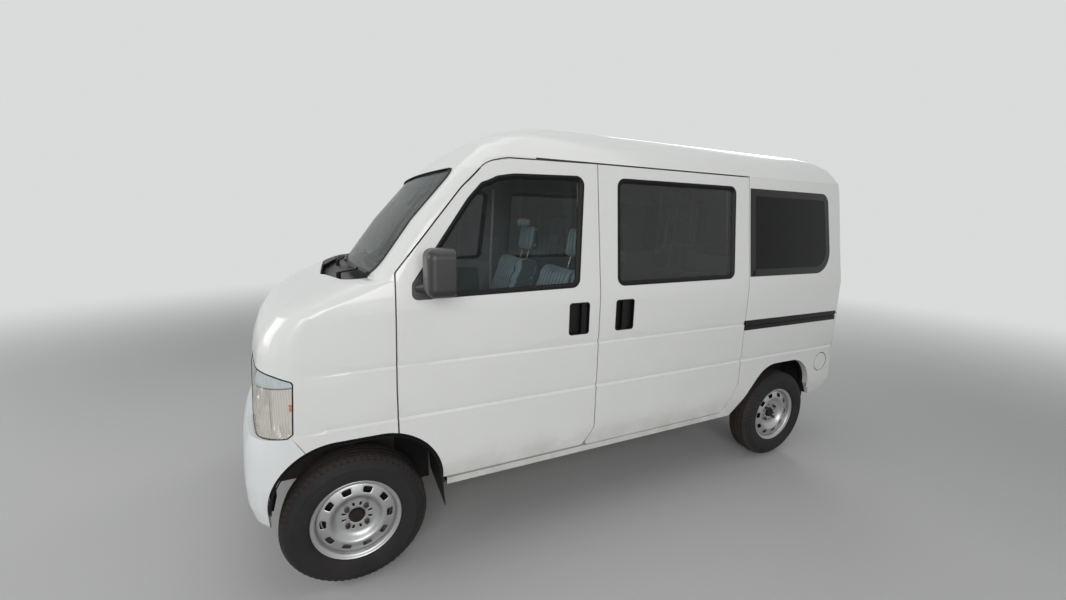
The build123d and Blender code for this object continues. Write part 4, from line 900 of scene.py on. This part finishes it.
def depth_in_turn_lamp(tree, height, along):
    """How far a point lies inside the turn lamp, whose front edge leans back as it rises."""
    lift = worked(tree, "SUBTRACT", height, TURN_LAMP_Z)
    front = worked(tree, "MULTIPLY_ADD", lift, TURN_LAMP_LEAN, TURN_LAMP_FRONT_X)
    return worked(tree, "MINIMUM", lift, worked(tree, "SUBTRACT", front, along))


head_lens, lens_tree, lens_shader = new_material("head_lens", {
    "Roughness": 0.05, "IOR": 1.5, "Alpha": 0.34, "Coat Weight": 0.6, "Coat Roughness": 0.02})
lamp_z, lamp_x, lamp_around = lamp_coordinates(lens_tree)
turn_depth = depth_in_turn_lamp(lens_tree, lamp_z, lamp_x)
turn_zone = band_mask(lens_tree, turn_depth, 0.0, 1.2)
divider = band_mask(lens_tree, turn_depth, -DIVIDER_WIDTH, 0.0)
marker = worked(lens_tree, "MULTIPLY", band_mask(lens_tree, lamp_z, MARKER_LOW_Z, MARKER_HIGH_Z),
                band_mask(lens_tree, lamp_x, 1.0, MARKER_FRONT_X))
flutes = flute_bump(lens_tree, lens_shader, FLUTE_PITCH, lamp_around, 0.6)
# Painted shade: the valleys between the lens flutes are darkened in colour as well as bumped.
flute_valley_shade = band_mask(lens_tree, flutes, -1.5, -0.8)
# Painted shade: a dark upright line on the lens where the bowl's side shows through it.
bowl_edge_shade = worked(lens_tree, "MULTIPLY", band_mask(lens_tree, lamp_around, -0.804, -0.798),
                   band_mask(lens_tree, lamp_z, 0.708, 0.818))
lens_colour = layered_colour(lens_tree, (0.95, 0.92, 0.84), [
    ((0.58, 0.56, 0.50), flute_valley_shade),
    ((0.34, 0.36, 0.31), bowl_edge_shade),
    ((0.80, 0.90, 0.95), turn_zone),
    ((0.15, 0.15, 0.14), divider),
    ((0.80, 0.20, 0.05), marker),
])
feed_inputs(lens_tree, lens_shader, {"Base Color": lens_colour})

bright_pan, pan_tree, pan_shader = new_material("bright_pan", {"Metallic": 0.85, "Roughness": 0.16})
pan_z, pan_x, pan_around = lamp_coordinates(pan_tree)
pan_top = band_mask(pan_tree, depth_in_turn_lamp(pan_tree, pan_z, pan_x), 0.0, 1.2)
pan_colour = layered_colour(pan_tree, (0.80, 0.77, 0.70), [((0.70, 0.76, 0.80), pan_top)])
feed_inputs(pan_tree, pan_shader, {"Base Color": pan_colour})
flute_bump(pan_tree, pan_shader, PAN_FLUTE_PITCH, pan_around, 0.3)


def side_of(place):
    """One on the van's left, minus one on its right."""
    return 1 if place.y > 0 else -1


def lamp_outer_faces(node):
    """The outer face of both lamps, with everything else taken away."""
    bm = merged(node)
    inside = []
    for face in bm.faces:
        outward = face.normal.x * 0.8 + face.normal.y * side_of(face.calc_center_median()) * 0.6
        if outward < 0.45 or abs(face.normal.z) > 0.6:
            inside.append(face)
    bmesh.ops.delete(bm, geom=inside, context="FACES")
    bm.normal_update()
    return bm


def outward_lamp(face):
    """The way out of the van at a headlamp."""
    return Vector((0.8, math.copysign(0.6, face.calc_center_median().y), 0))


lens = lamp_outer_faces("headlamps")
bmesh.ops.solidify(lens, geom=list(lens.faces), thickness=LENS_WALL)
mark_creases(lens)
settle(mesh_piece("headlamp_lenses", lens, head_lens), "body", "lamp_lens", "headlamps")
ring = raised_border("headlamps", outward_lamp, 0.0006, [(0.0045, 0.0)], 0.004, lap=0.0012)
settle(mesh_piece("headlamp_gaskets", ring, black_rubber), "body", "rubber")

pan = lamp_outer_faces("headlamps")
rim = [edge for edge in pan.edges if edge.is_boundary]
outs = {vert: vert.normal.copy() for vert in pan.verts}
made = bmesh.ops.extrude_edge_only(pan, edges=rim)
for vert in only(bmesh.types.BMVert, made["geom"]):
    below = next(edge.other_vert(vert) for edge in vert.link_edges if edge.other_vert(vert) in outs)
    vert.co -= outs[below] * RIM_DEPTH
for vert, out in outs.items():
    to_middle = Vector((0, PAN_MIDDLE_Y * side_of(vert.co) - vert.co.y, PAN_MIDDLE_Z - vert.co.z))
    vert.co += to_middle * PAN_DRAW - out * PAN_DEPTH
mark_creases(pan, math.radians(40))
settle(mesh_piece("headlamp_pans", pan, bright_pan), "body", "lamp_lens")

# Tail lamps: moulded lenses in three colours, set low on the corners beside the tailgate.
# They are their CAD forms, coloured by height.
AMBER_LOW_Z = 0.742
AMBER_HIGH_Z = 0.798
SEAM_HALF = 0.002
SEAM_COLOUR = (0.08, 0.03, 0.02)
tail_lens, tail_tree, tail_shader = new_material("tail_lens", {
    "Roughness": 0.12, "Coat Weight": 0.5, "Coat Roughness": 0.05})
tail_z, _, tail_around = lamp_coordinates(tail_tree)
tail_colour = layered_colour(tail_tree, (0.42, 0.012, 0.010), [
    ((0.62, 0.19, 0.02), band_mask(tail_tree, tail_z, AMBER_LOW_Z, AMBER_HIGH_Z)),
    ((0.62, 0.62, 0.60), band_mask(tail_tree, tail_z, 0.5, AMBER_LOW_Z)),
    (SEAM_COLOUR, band_mask(tail_tree, tail_z, AMBER_LOW_Z - SEAM_HALF, AMBER_LOW_Z + SEAM_HALF)),
    (SEAM_COLOUR, band_mask(tail_tree, tail_z, AMBER_HIGH_Z - SEAM_HALF, AMBER_HIGH_Z + SEAM_HALF)),
])
feed_inputs(tail_tree, tail_shader, {"Base Color": tail_colour})
flute_bump(tail_tree, tail_shader, 0.01, tail_around, 0.5)
dressed("tail_lamps", tail_lens, "red_lens", bevel=0.0015)

# Front seats: foam pads in pale blue ribbed cloth with dark bolsters, on a leaned back with a headrest.
# Each pad is blown up as cloth from a slightly smaller form, and its sewn lines are drawn in afterwards.
SEAT_MIDDLE_Y = 0.335
BOLSTER_LINE = 0.19
RIB_PITCH = 0.034


def make_weave_group():
    """Woven cloth: a bump height from crossed threads, finer than the ribs."""
    group, entry, leave = effect_group("cloth_weave", "Height", Thread=900.0, Height=0.5)
    place = place_parts(group)
    threads = [worked(group, "SINE", worked(group, "MULTIPLY", place[axis], entry.outputs["Thread"]))
               for axis in "XYZ"]
    crossed = worked(group, "ADD", worked(group, "ADD", threads[0], threads[1]), threads[2])
    feed_inputs(group, leave, {"Height": worked(group, "MULTIPLY", crossed, entry.outputs["Height"])})
    return group


cloth_weave = make_weave_group()


def ribbed_cloth(name, colour, bolster, middle, line, pitch):
    """Ribbed cloth between two bolsters, with a wash of wear and painted shade in the grooves between the ribs."""
    material, tree, shader = new_material(name, {
        "Roughness": 0.9, "Sheen Weight": 0.35, "Sheen Roughness": 0.5})
    across = worked(tree, "SUBTRACT", worked(tree, "ABSOLUTE", place_parts(tree)["Y"]), middle)
    edge = band_mask(tree, worked(tree, "ABSOLUTE", across), line, 2.0)
    wave = waves(tree, across, pitch)
    wear = ranged(tree, noise(tree, 6, 6), 0.4, 0.7, 0.0, 0.45)
    cloth_colour = layered_colour(tree, colour, [
        (tuple(c * 0.8 for c in colour), wear),
        # Painted shade: the grooves between the ribs are darkened in colour as well as bumped.
        (tuple(c * 0.32 for c in colour), band_mask(tree, wave, -1.5, -0.68)),
        (bolster, edge),
    ])
    ribs = worked(tree, "MULTIPLY_ADD", wave, 0.8, placed(tree, cloth_weave, Thread=2400, Height=0.06))
    feed_inputs(tree, shader, {"Base Color": cloth_colour, "Normal": bumped(tree, ribs, 0.0015)})
    return material


PAD_INSET = 0.012
PAD_ROUND = 0.024


def leaned_form(side_points, half_low, half_high, middle):
    """A rounded block whose side view is four points: low front, high front, high back, low back."""
    corners = dict(zip(((1, -1), (1, 1), (-1, 1), (-1, -1)), side_points))
    centre_x = sum(point[0] for point in side_points) / 4
    centre_z = sum(point[1] for point in side_points) / 4
    bm = bmesh.new()
    bmesh.ops.create_cube(bm, size=2)
    for vert in bm.verts:
        way = (round(vert.co.x), round(vert.co.z))
        x, z = corners[way]
        half = half_high if way[1] > 0 else half_low
        pull_x = math.copysign(PAD_INSET, x - centre_x)
        pull_z = math.copysign(PAD_INSET, z - centre_z)
        vert.co = Vector((x - pull_x, middle + round(vert.co.y) * (half - PAD_INSET), z - pull_z))
    bmesh.ops.bevel(bm, geom=list(bm.edges), offset=PAD_ROUND, affect="EDGES", segments=3, profile=0.5,
                    material=-1)
    bmesh.ops.recalc_face_normals(bm, faces=bm.faces)
    return bm


FILL_FRAMES = 20
FILL_CAP = 0.022
BASE_BAND = 0.01


def filled_pad(name, bm, material, voxel, base_z=None):
    """A pad blown up as cloth, held near its own form, with its base kept flat."""
    pad = mesh_piece(name, bm, material)
    even = pad.modifiers.new("even_mesh", "REMESH")
    even.mode = "VOXEL"
    even.voxel_size = voxel
    even.use_smooth_shade = True
    view = bpy.context.evaluated_depsgraph_get()
    pad.data = bpy.data.meshes.new_from_object(pad.evaluated_get(view))
    pad.modifiers.clear()
    start = [vert.co.copy() for vert in pad.data.vertices]
    if base_z is not None:
        held = pad.vertex_groups.new(name="base")
        low = [vert.index for vert in pad.data.vertices if vert.co.z < base_z + BASE_BAND]
        held.add(low, 1.0, "REPLACE")
    cloth = pad.modifiers.new("filling", "CLOTH")
    cloth.settings.use_pressure = True
    cloth.settings.uniform_pressure_force = 4
    cloth.settings.quality = 5
    cloth.settings.effector_weights.gravity = 0
    if base_z is not None:
        cloth.settings.vertex_group_mass = "base"
    for step in range(1, FILL_FRAMES + 1):
        bpy.context.scene.frame_set(step)
    view = bpy.context.evaluated_depsgraph_get()
    blown = bpy.data.meshes.new_from_object(pad.evaluated_get(view))
    pad.modifiers.clear()
    for vert, origin in zip(blown.vertices, start):
        move = vert.co - origin
        if move.length > FILL_CAP:
            vert.co = origin + move * (FILL_CAP / move.length)
    pad.data = blown
    bpy.context.scene.frame_set(1)
    return pad


SEAM_DEPTH = 0.006


def sewn(pad, lines, width):
    """One subdivision, then a sewn groove along each line, a plane given by a point and its normal."""
    bm = bmesh.new()
    bm.from_mesh(pad.data)
    bmesh.ops.subdivide_edges(bm, edges=list(bm.edges), cuts=1, use_grid_fill=True, smooth=0.6)
    bm.normal_update()
    moves = {}
    for vert in bm.verts:
        pull = 0.0
        for point, normal in lines:
            apart = abs((vert.co - Vector(point)).dot(Vector(normal)))
            if apart < width:
                pull = max(pull, (1 + math.cos(math.pi * apart / width)) / 2)
        if pull:
            moves[vert] = vert.normal * (-SEAM_DEPTH * pull)
    for vert, move in moves.items():
        vert.co += move
    for face in bm.faces:
        face.smooth = True
    bm.to_mesh(pad.data)
    bm.free()


def other_side(piece, name):
    """The same piece mirrored to the other side of the van."""
    bm = bmesh.new()
    bm.from_mesh(piece.data)
    bmesh.ops.scale(bm, vec=(1, -1, 1), verts=bm.verts)
    bmesh.ops.reverse_faces(bm, faces=bm.faces)
    return mesh_piece(name, bm, *piece.data.materials)


def pad_done(pad, slot, node):
    """A finished pad, carried on the body in place of its CAD node."""
    settle(pad, "body", slot, node)


def seams_across(offset):
    """Two seams along a seat, each at an offset from its middle."""
    return [((0, SEAT_MIDDLE_Y + offset, 0), (0, 1, 0)), ((0, SEAT_MIDDLE_Y - offset, 0), (0, 1, 0))]


seat_cloth = ribbed_cloth("seat_cloth", (0.50, 0.70, 0.76), (0.05, 0.06, 0.065), SEAT_MIDDLE_Y, BOLSTER_LINE,
                          RIB_PITCH)
# Side views, half widths low and high, height of a flat base, and seams of the pads
SEAT_PADS = {
    "seat_cushion": ([(0.7375, 0.6403), (0.7375, 0.812), (0.2475, 0.80), (0.2475, 0.6403)], 0.235, 0.235,
                     0.6403, seams_across(BOLSTER_LINE) + [((0.66, 0, 0), (1, 0, 0))]),
    "seat_back": ([(0.3725, 0.76), (0.1955, 1.228), (0.0825, 1.205), (0.2375, 0.74)], 0.235, 0.205,
                  None, seams_across(BOLSTER_LINE) + [((0, 0, 1.10), (0.2, 0, 1))]),
    "seat_headrest": ([(0.1395, 1.236), (0.1215, 1.415), (0.0425, 1.405), (0.0575, 1.23)], 0.13, 0.118,
                      None, seams_across(0.095)),
}
for name, (points, half_low, half_high, base, seams) in SEAT_PADS.items():
    form = leaned_form(points, half_low, half_high, SEAT_MIDDLE_Y)
    pad = filled_pad(name + "_left", form, seat_cloth, 0.0105, base)
    sewn(pad, seams, 0.012)
    twin = other_side(pad, name + "_right")
    for seat in (pad, twin):
        pad_done(seat, "seat_cloth", "front_seats")

# Headrest posts: two bright steel bars from each headrest into the seat's back.
# Each is a round bar with rolled ends.
post_steel = finish("post_steel", (0.50, 0.50, 0.49), 0.25, metallic=0.95, grain=(700, 0.1),
                    dust=(0.1, 0, 0.05))


def rod_between(low, high, radius, segments=16):
    """A round bar between two points, with rolled ends."""
    low = Vector(low)
    high = Vector(high)
    bm = bmesh.new()
    turn = (high - low).to_track_quat("Z", "Y").to_matrix().to_4x4()
    place = Matrix.Translation((low + high) / 2) @ turn
    bmesh.ops.create_cone(bm, cap_ends=True, segments=segments, radius1=radius, radius2=radius,
                          depth=(high - low).length, matrix=place)
    ends = [edge for edge in bm.edges if len(edge.link_faces) == 2 and edge.calc_face_angle(0) > 1]
    bmesh.ops.bevel(bm, geom=ends, offset=radius * 0.25, affect="EDGES", segments=2, profile=0.5, material=-1)
    for face in bm.faces:
        face.smooth = len(face.verts) == 4
    return bm


posts = bmesh.new()
for side in (1, -1):
    for offset in (-0.054, 0.054):
        y = side * SEAT_MIDDLE_Y + offset
        add_part(posts, rod_between((0.125, y, 1.18), (0.105, y, 1.26), 0.006))
settle(mesh_piece("headrest_posts", posts, post_steel), "body", "rail_steel")

# Rear bench: a folding bench in dark ribbed vinyl cloth on a painted tube frame.
# Its two pads are blown up like the front ones, over a frame of tubes with feet.
bench_vinyl = ribbed_cloth("bench_vinyl", (0.035, 0.075, 0.085), (0.02, 0.03, 0.034), 0.0, 0.50, 0.028)
BENCH_PADS = {
    "bench_cushion": ([(-0.1105, 0.73), (-0.1105, 0.86), (-0.5705, 0.845), (-0.5705, 0.73)], 0.56, 0.56,
                      0.73, [((0, 0, 0), (0, 1, 0)), ((-0.19, 0, 0), (1, 0, 0))]),
    "bench_back": ([(-0.4805, 0.81), (-0.6255, 1.19), (-0.7205, 1.165), (-0.5755, 0.79)], 0.56, 0.545,
                   None, [((0, 0, 0), (0, 1, 0)), ((0, 0, 1.10), (0.25, 0, 1))]),
}
for name, (points, half_low, half_high, base, seams) in BENCH_PADS.items():
    form = leaned_form(points, half_low, half_high, 0.0)
    pad = filled_pad(name, form, bench_vinyl, 0.0135, base)
    sewn(pad, seams, 0.014)
    pad_done(pad, "bench_vinyl", "rear_bench")

frame_paint = finish("frame_paint", (0.05, 0.055, 0.058), 0.45, grain=(500, 0.2), dust=(0.6, 0.2, 0.1))
# Tubes of the frame, those on the left standing for both sides. Columns: two ends, radius
SIDE_TUBES = [
    ((-0.158, 0.48, 0.4803), (-0.158, 0.48, 0.735), 0.012),
    ((-0.158, 0.48, 0.722), (-0.53, 0.48, 0.722), 0.012),
    ((-0.52, 0.48, 0.6605), (-0.52, 0.48, 0.735), 0.014),
    ((-0.52, 0.50, 0.735), (-0.655, 0.50, 1.12), 0.012),
]
CROSS_TUBES = [
    ((-0.158, -0.50, 0.715), (-0.158, 0.50, 0.715), 0.012),
    ((-0.52, -0.52, 0.70), (-0.52, 0.52, 0.70), 0.014),
]


def on_side(side, point):
    """A point given for the van's left, or its twin on the right."""
    return (point[0], side * point[1], point[2])


frame_tubes = bmesh.new()
for side in (1, -1):
    for low, high, radius in SIDE_TUBES:
        add_part(frame_tubes, rod_between(on_side(side, low), on_side(side, high), radius))
for low, high, radius in CROSS_TUBES:
    add_part(frame_tubes, rod_between(low, high, radius))
settle(mesh_piece("bench_frame", frame_tubes, frame_paint), "body", "under_metal", "rear_bench")

# Headlamp bowls: bright spun reflectors, each with a bulb, behind the lenses.
# Both are turned about a line along the van. Section columns: radius, place along the line, in millimetres
BOWL_MIDDLE = (1.572, 0.562, 0.775)
BOWL_SECTION = [(57, 0), (56, -3), (50, -12), (41, -20), (29, -27), (16, -30), (9, -31), (9, -26)]
BULB_SECTION = [(0.1, 2), (5, 0), (7, -4), (7, -26)]
bulb_glass = finish("bulb_glass", (0.75, 0.76, 0.74), 0.1, coat=0.5, grain=(300, 0.0), dust=(0.1, 0, 0))


def spun_in_lamp(section, side, segments):
    """A smooth sheet turned about the middle of a headlamp."""
    x, y, z = on_side(side, BOWL_MIDDLE)
    points = [(x + out / 1000, y, z + radius / 1000) for radius, out in section]
    bm = spun(points, (x, y, z), (1, 0, 0), segments)
    for face in bm.faces:
        face.smooth = True
    return bm


bowls = bmesh.new()
bulbs = bmesh.new()
for side in (1, -1):
    add_part(bowls, spun_in_lamp(BOWL_SECTION, side, 40))
    add_part(bulbs, spun_in_lamp(BULB_SECTION, side, 16))
settle(mesh_piece("headlamp_bowls", bowls, bright_pan), "body", "lamp_lens")
settle(mesh_piece("headlamp_bulbs", bulbs, bulb_glass), "body", "lamp_lens")

# Front wheel arch liners: black moulded strips just inside each arch, ending in a mud flap behind the wheel.
# Each strip is a path round the arch, drawn out sideways.
LINER_REAR_X = 0.9385
LINER_FRONT_X = 1.5505
LINER_TOP_Z = 0.629
LINER_ROUND = 0.230
LINER_SHEET = 0.0035
FLAP_FOOT_Z = 0.262
LINER_INNER_Y = 0.43
LINER_OUTER_Y = 0.7345


def arch_strip(side, inner, outer, foot, lift):
    """A strip round the front arch, from a low foot behind the wheel to the front end."""
    bm = bmesh.new()
    y = inner * side
    turn_z = LINER_TOP_Z - LINER_ROUND
    low = bm.verts.new((LINER_REAR_X - 0.010 + lift, y, foot))
    start = bm.verts.new((LINER_REAR_X + lift, y, turn_z))
    bm.edges.new((low, start))
    made = bmesh.ops.spin(bm, geom=[start], cent=(LINER_REAR_X + LINER_ROUND, y, turn_z), axis=(0, 1, 0),
                          angle=math.pi / 2, steps=14)
    last = only(bmesh.types.BMVert, made["geom_last"])[0]
    ahead = bmesh.ops.extrude_vert_indiv(bm, verts=[last])["verts"][0]
    ahead.co.x = LINER_FRONT_X - LINER_ROUND
    bmesh.ops.spin(bm, geom=[ahead], cent=(LINER_FRONT_X - LINER_ROUND, y, turn_z), axis=(0, 1, 0),
                   angle=math.pi / 2, steps=14)
    made = bmesh.ops.extrude_edge_only(bm, edges=list(bm.edges))
    moved = only(bmesh.types.BMVert, made["geom"])
    bmesh.ops.translate(bm, vec=(0, (outer - inner) * side, 0), verts=moved)
    bmesh.ops.recalc_face_normals(bm, faces=bm.faces)
    bmesh.ops.solidify(bm, geom=list(bm.faces), thickness=LINER_SHEET)
    mark_creases(bm, math.radians(40))
    return bm


liners = bmesh.new()
for side in (1, -1):
    add_part(liners, arch_strip(side, LINER_INNER_Y, LINER_OUTER_Y, FLAP_FOOT_Z, 0.0))
    add_part(liners, arch_strip(side, LINER_OUTER_Y - 0.006, LINER_OUTER_Y + 0.0035, 0.39, 0.006))
settle(mesh_piece("front_arch_liners", liners, black_rubber), "body", "rubber")


# Black fittings in and round the arches: a stay behind each corner of the front bumper, a splash shield
# behind each front wheel, the rear arches' liners, and the rod in the seam over the bumper's side.
# The splash shield is partly painted shade under the van, and the rod is painted shade in the seam.
def soft_box(low, high, rounding, segments=2):
    """A block between two corners with rounded edges."""
    bm = bmesh.new()
    low = Vector(low)
    high = Vector(high)
    place = Matrix.Translation((low + high) / 2) @ Matrix.Diagonal((*(high - low), 1))
    bmesh.ops.create_cube(bm, size=1, matrix=place)
    bmesh.ops.bevel(bm, geom=list(bm.edges), offset=rounding, affect="EDGES", segments=segments, profile=0.5,
                    material=-1)
    for face in bm.faces:
        face.smooth = True
    return bm


def side_box(side, low, high, rounding, segments=2):
    """A rounded block given for the van's left, or its twin on the right."""
    near, far = sorted((side * low[1], side * high[1]))
    return soft_box((low[0], near, low[2]), (high[0], far, high[2]), rounding, segments)


# Blocks on the left: bumper stay, splash shield (partly painted shade under the van), and the rear liner's
# wall, rear strip and top strip.
# Columns: two corners, rounding
ARCH_BLOCKS = [
    ((1.546, 0.56, 0.362), (1.556, 0.655, 0.43), 0.003),
    # Splash shield: a black sheet standing partly for parts inside the arch and partly for painted shade under the van.
    ((0.935, 0.402, 0.20), (1.090, 0.407, 0.50), 0.0015),
    ((-1.415, 0.538, 0.25), (-0.760, 0.542, 0.634), 0.0015),
    ((-1.415, 0.538, 0.25), (-1.411, 0.700, 0.634), 0.0015),
    ((-1.415, 0.538, 0.630), (-0.960, 0.700, 0.634), 0.0015),
]
# Painted shade: a thin black rod along the seam over the bumper's side, for the dark of its gap.
SEAM_SHADE_ENDS = ((1.4135, 0.7372, 0.598), (1.4575, 0.7362, 0.675))
SEAM_SHADE_RADIUS = 0.0013
stays = bmesh.new()
for side in (1, -1):
    for low, high, rounding in ARCH_BLOCKS:
        add_part(stays, side_box(side, low, high, rounding))
    low, high = [on_side(side, end) for end in SEAM_SHADE_ENDS]
    add_part(stays, rod_between(low, high, SEAM_SHADE_RADIUS, 8))
settle(mesh_piece("bumper_stays", stays, underseal), "body", "rubber")

# Door mirrors: flat silvered glass set into the back of each head.
# Each is a thin block with rounded edges.
mirror_silver = finish("mirror_silver", (0.80, 0.81, 0.82), 0.03, metallic=1.0, grain=(300, 0.0),
                       dust=(0.2, 0, 0.03))
for side, name in ((1, "left"), (-1, "right")):
    low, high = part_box("mirror_" + name)
    glass = side_box(side, (0.9105, 0.7845, 1.176), (0.9150, 0.8905, 1.326), 0.0018)
    settle(mesh_piece("mirror_glass_" + name, glass, mirror_silver), "front_door_" + name, "glass")

# Door locks: a small bright cylinder low in each front handle dish.
# Each is turned like a wheel from a section in millimetres.
LOCK_SECTION = [(8, 0), (8, 3), (7, 4), (3.5, 4), (3, 2.4), (0.1, 2.4)]
lock_steel = finish("lock_steel", (0.30, 0.30, 0.29), 0.3, metallic=0.9, grain=(600, 0.2), mottle=(80, 0.2))
for side, name in ((1, "left"), (-1, "right")):
    lock = turned(LOCK_SECTION, Vector((0.2875, side * 0.7205, 0.962)), side, 24)
    mark_creases(lock)
    settle(mesh_piece("door_lock_" + name, lock, lock_steel), "front_door_" + name, "rail_steel")

# Seat belts: grey webbing hung from a guide high on each middle pillar, through a second guide lower down.
# The web is a strip drawn down a path, and the guides are rounded blocks.
belt_web = finish("belt_web", (0.045, 0.045, 0.047), 0.8, grain=(2200, 0.8), dust=(0.1, 0, 0.05))
BELT_PATH = [(0.205, 1.43), (0.203, 1.30), (0.200, 1.10), (0.198, 0.90), (0.198, 0.70)]
BELT_HALF = 0.023
BELT_Y = 0.664
belts = bmesh.new()
guides = bmesh.new()
for side in (1, -1):
    strip = bmesh.new()
    top_x, top_z = BELT_PATH[0]
    first = [strip.verts.new((top_x + half, side * BELT_Y, top_z)) for half in (-BELT_HALF, BELT_HALF)]
    edge = strip.edges.new(first)
    for x, z in BELT_PATH[1:]:
        made = bmesh.ops.extrude_edge_only(strip, edges=[edge])["geom"]
        ends = only(bmesh.types.BMVert, made)
        before = sum((vert.co for vert in ends), Vector()) / 2
        bmesh.ops.translate(strip, vec=(x - before.x, 0, z - before.z), verts=ends)
        edge = only(bmesh.types.BMEdge, made)[0]
    bmesh.ops.recalc_face_normals(strip, faces=strip.faces)
    bmesh.ops.solidify(strip, geom=list(strip.faces), thickness=0.0016)
    add_part(belts, strip)
    add_part(guides, side_box(side, (0.172, 0.652, 1.42), (0.238, 0.676, 1.455), 0.006))
    add_part(guides, side_box(side, (0.185, 0.652, 1.13), (0.222, 0.676, 1.165), 0.004))
settle(mesh_piece("seat_belts", belts, belt_web), "body", "seat_cloth")
settle(mesh_piece("belt_guides", guides, black_plastic), "body", "black_plastic")

# Front door cards: pressed trim boards on the doors' inner faces, each with an armrest.
# The board is an outline with rounded corners, drawn out to its thickness.
CARD_OUTLINE = [(0.30, 0.47), (0.88, 0.47), (0.90, 0.69), (1.02, 0.71), (1.02, 1.09), (0.34, 1.09)]
CARD_Y = 0.6835
CARD_WALL = 0.0035
card_trim = finish("card_trim", (0.12, 0.145, 0.15), 0.7, grain=(800, 0.35), dust=(0.6, 0.1, 0.05))
for side, name in ((1, "left"), (-1, "right")):
    card = bmesh.new()
    corners = [card.verts.new((x, side * CARD_Y, z)) for x, z in CARD_OUTLINE]
    card.faces.new(corners)
    bmesh.ops.bevel(card, geom=corners, offset=0.03, affect="VERTICES", segments=4, profile=0.5, material=-1)
    made = bmesh.ops.extrude_face_region(card, geom=list(card.faces))
    moved = only(bmesh.types.BMVert, made["geom"])
    bmesh.ops.translate(card, vec=(0, side * CARD_WALL, 0), verts=moved)
    bmesh.ops.recalc_face_normals(card, faces=card.faces)
    add_part(card, side_box(side, (0.42, 0.648, 0.86), (0.74, CARD_Y, 0.905), 0.012, 3))
    mark_creases(card)
    settle(mesh_piece("door_card_" + name, card, card_trim), "front_door_" + name, "grey_trim")

# Dashboard fittings: an instrument pod ahead of the wheel, three slatted vents, a radio plate and a glove
# box lid. All are rounded blocks in black plastic.
pod = soft_box((0.985, -0.50, 1.085), (1.13, -0.20, 1.205), 0.02, 3)
settle(mesh_piece("instrument_pod", pod, black_plastic), "body", "grey_trim")
VENT_HALF = 0.045
SLAT_LOW_Z = 1.075
SLAT_PITCH = 0.011
fittings = bmesh.new()
for low_y, high_y in ((-0.10, 0.06), (0.10, 0.50)):
    add_part(fittings, soft_box((0.982, low_y, 0.955), (1.002, high_y, 1.06), 0.006))
for vent_y in (-0.54, 0.0, 0.54):
    for row in range(4):
        low = (0.985, vent_y - VENT_HALF, SLAT_LOW_Z + row * SLAT_PITCH)
        high = (1.010, vent_y + VENT_HALF, SLAT_LOW_Z + row * SLAT_PITCH + 0.005)
        add_part(fittings, soft_box(low, high, 0.001, 1))
settle(mesh_piece("dash_fittings", fittings, black_plastic), "body", "grey_trim")

# Body corners behind the sliding doors: the quarter panel's skin carried forward to the door's slanted
# corner. Columns: height, place of the door's edge along the van, distance of the skin from the middle
REAR_CORNER_ROWS = [
    (0.3768, -0.646, 0.723), (0.3830, -0.6435, 0.7242), (0.3890, -0.6550, 0.7252), (0.3950, -0.6630, 0.7262),
    (0.4010, -0.6685, 0.7275), (0.4070, -0.6735, 0.7287), (0.4380, -0.6925, 0.7355),
    (0.4630, -0.7085, 0.7378), (0.5000, -0.7320, 0.7375), (0.5380, -0.7550, 0.7375),
]
REAR_CORNER_END_X = -0.7572
REAR_CORNER_INNER = 0.97
rear_corners = bmesh.new()
for side in (1, -1):
    pairs = []
    for height, edge_x, skin in REAR_CORNER_ROWS:
        pairs.append([rear_corners.verts.new((x, side * skin, height)) for x in (edge_x, REAR_CORNER_END_X)])
    for below, above in zip(pairs, pairs[1:]):
        quad = (below[0], below[1], above[1], above[0])
        rear_corners.faces.new(quad if side > 0 else quad[::-1])
rear_corners.normal_update()
made = bmesh.ops.extrude_face_region(rear_corners, geom=list(rear_corners.faces))
for vert in only(bmesh.types.BMVert, made["geom"]):
    vert.co.y *= REAR_CORNER_INNER
bmesh.ops.recalc_face_normals(rear_corners, faces=rear_corners.faces)
mark_creases(rear_corners)
settle(mesh_piece("rear_corner_panels", rear_corners, white_paint), "body", "white_paint")
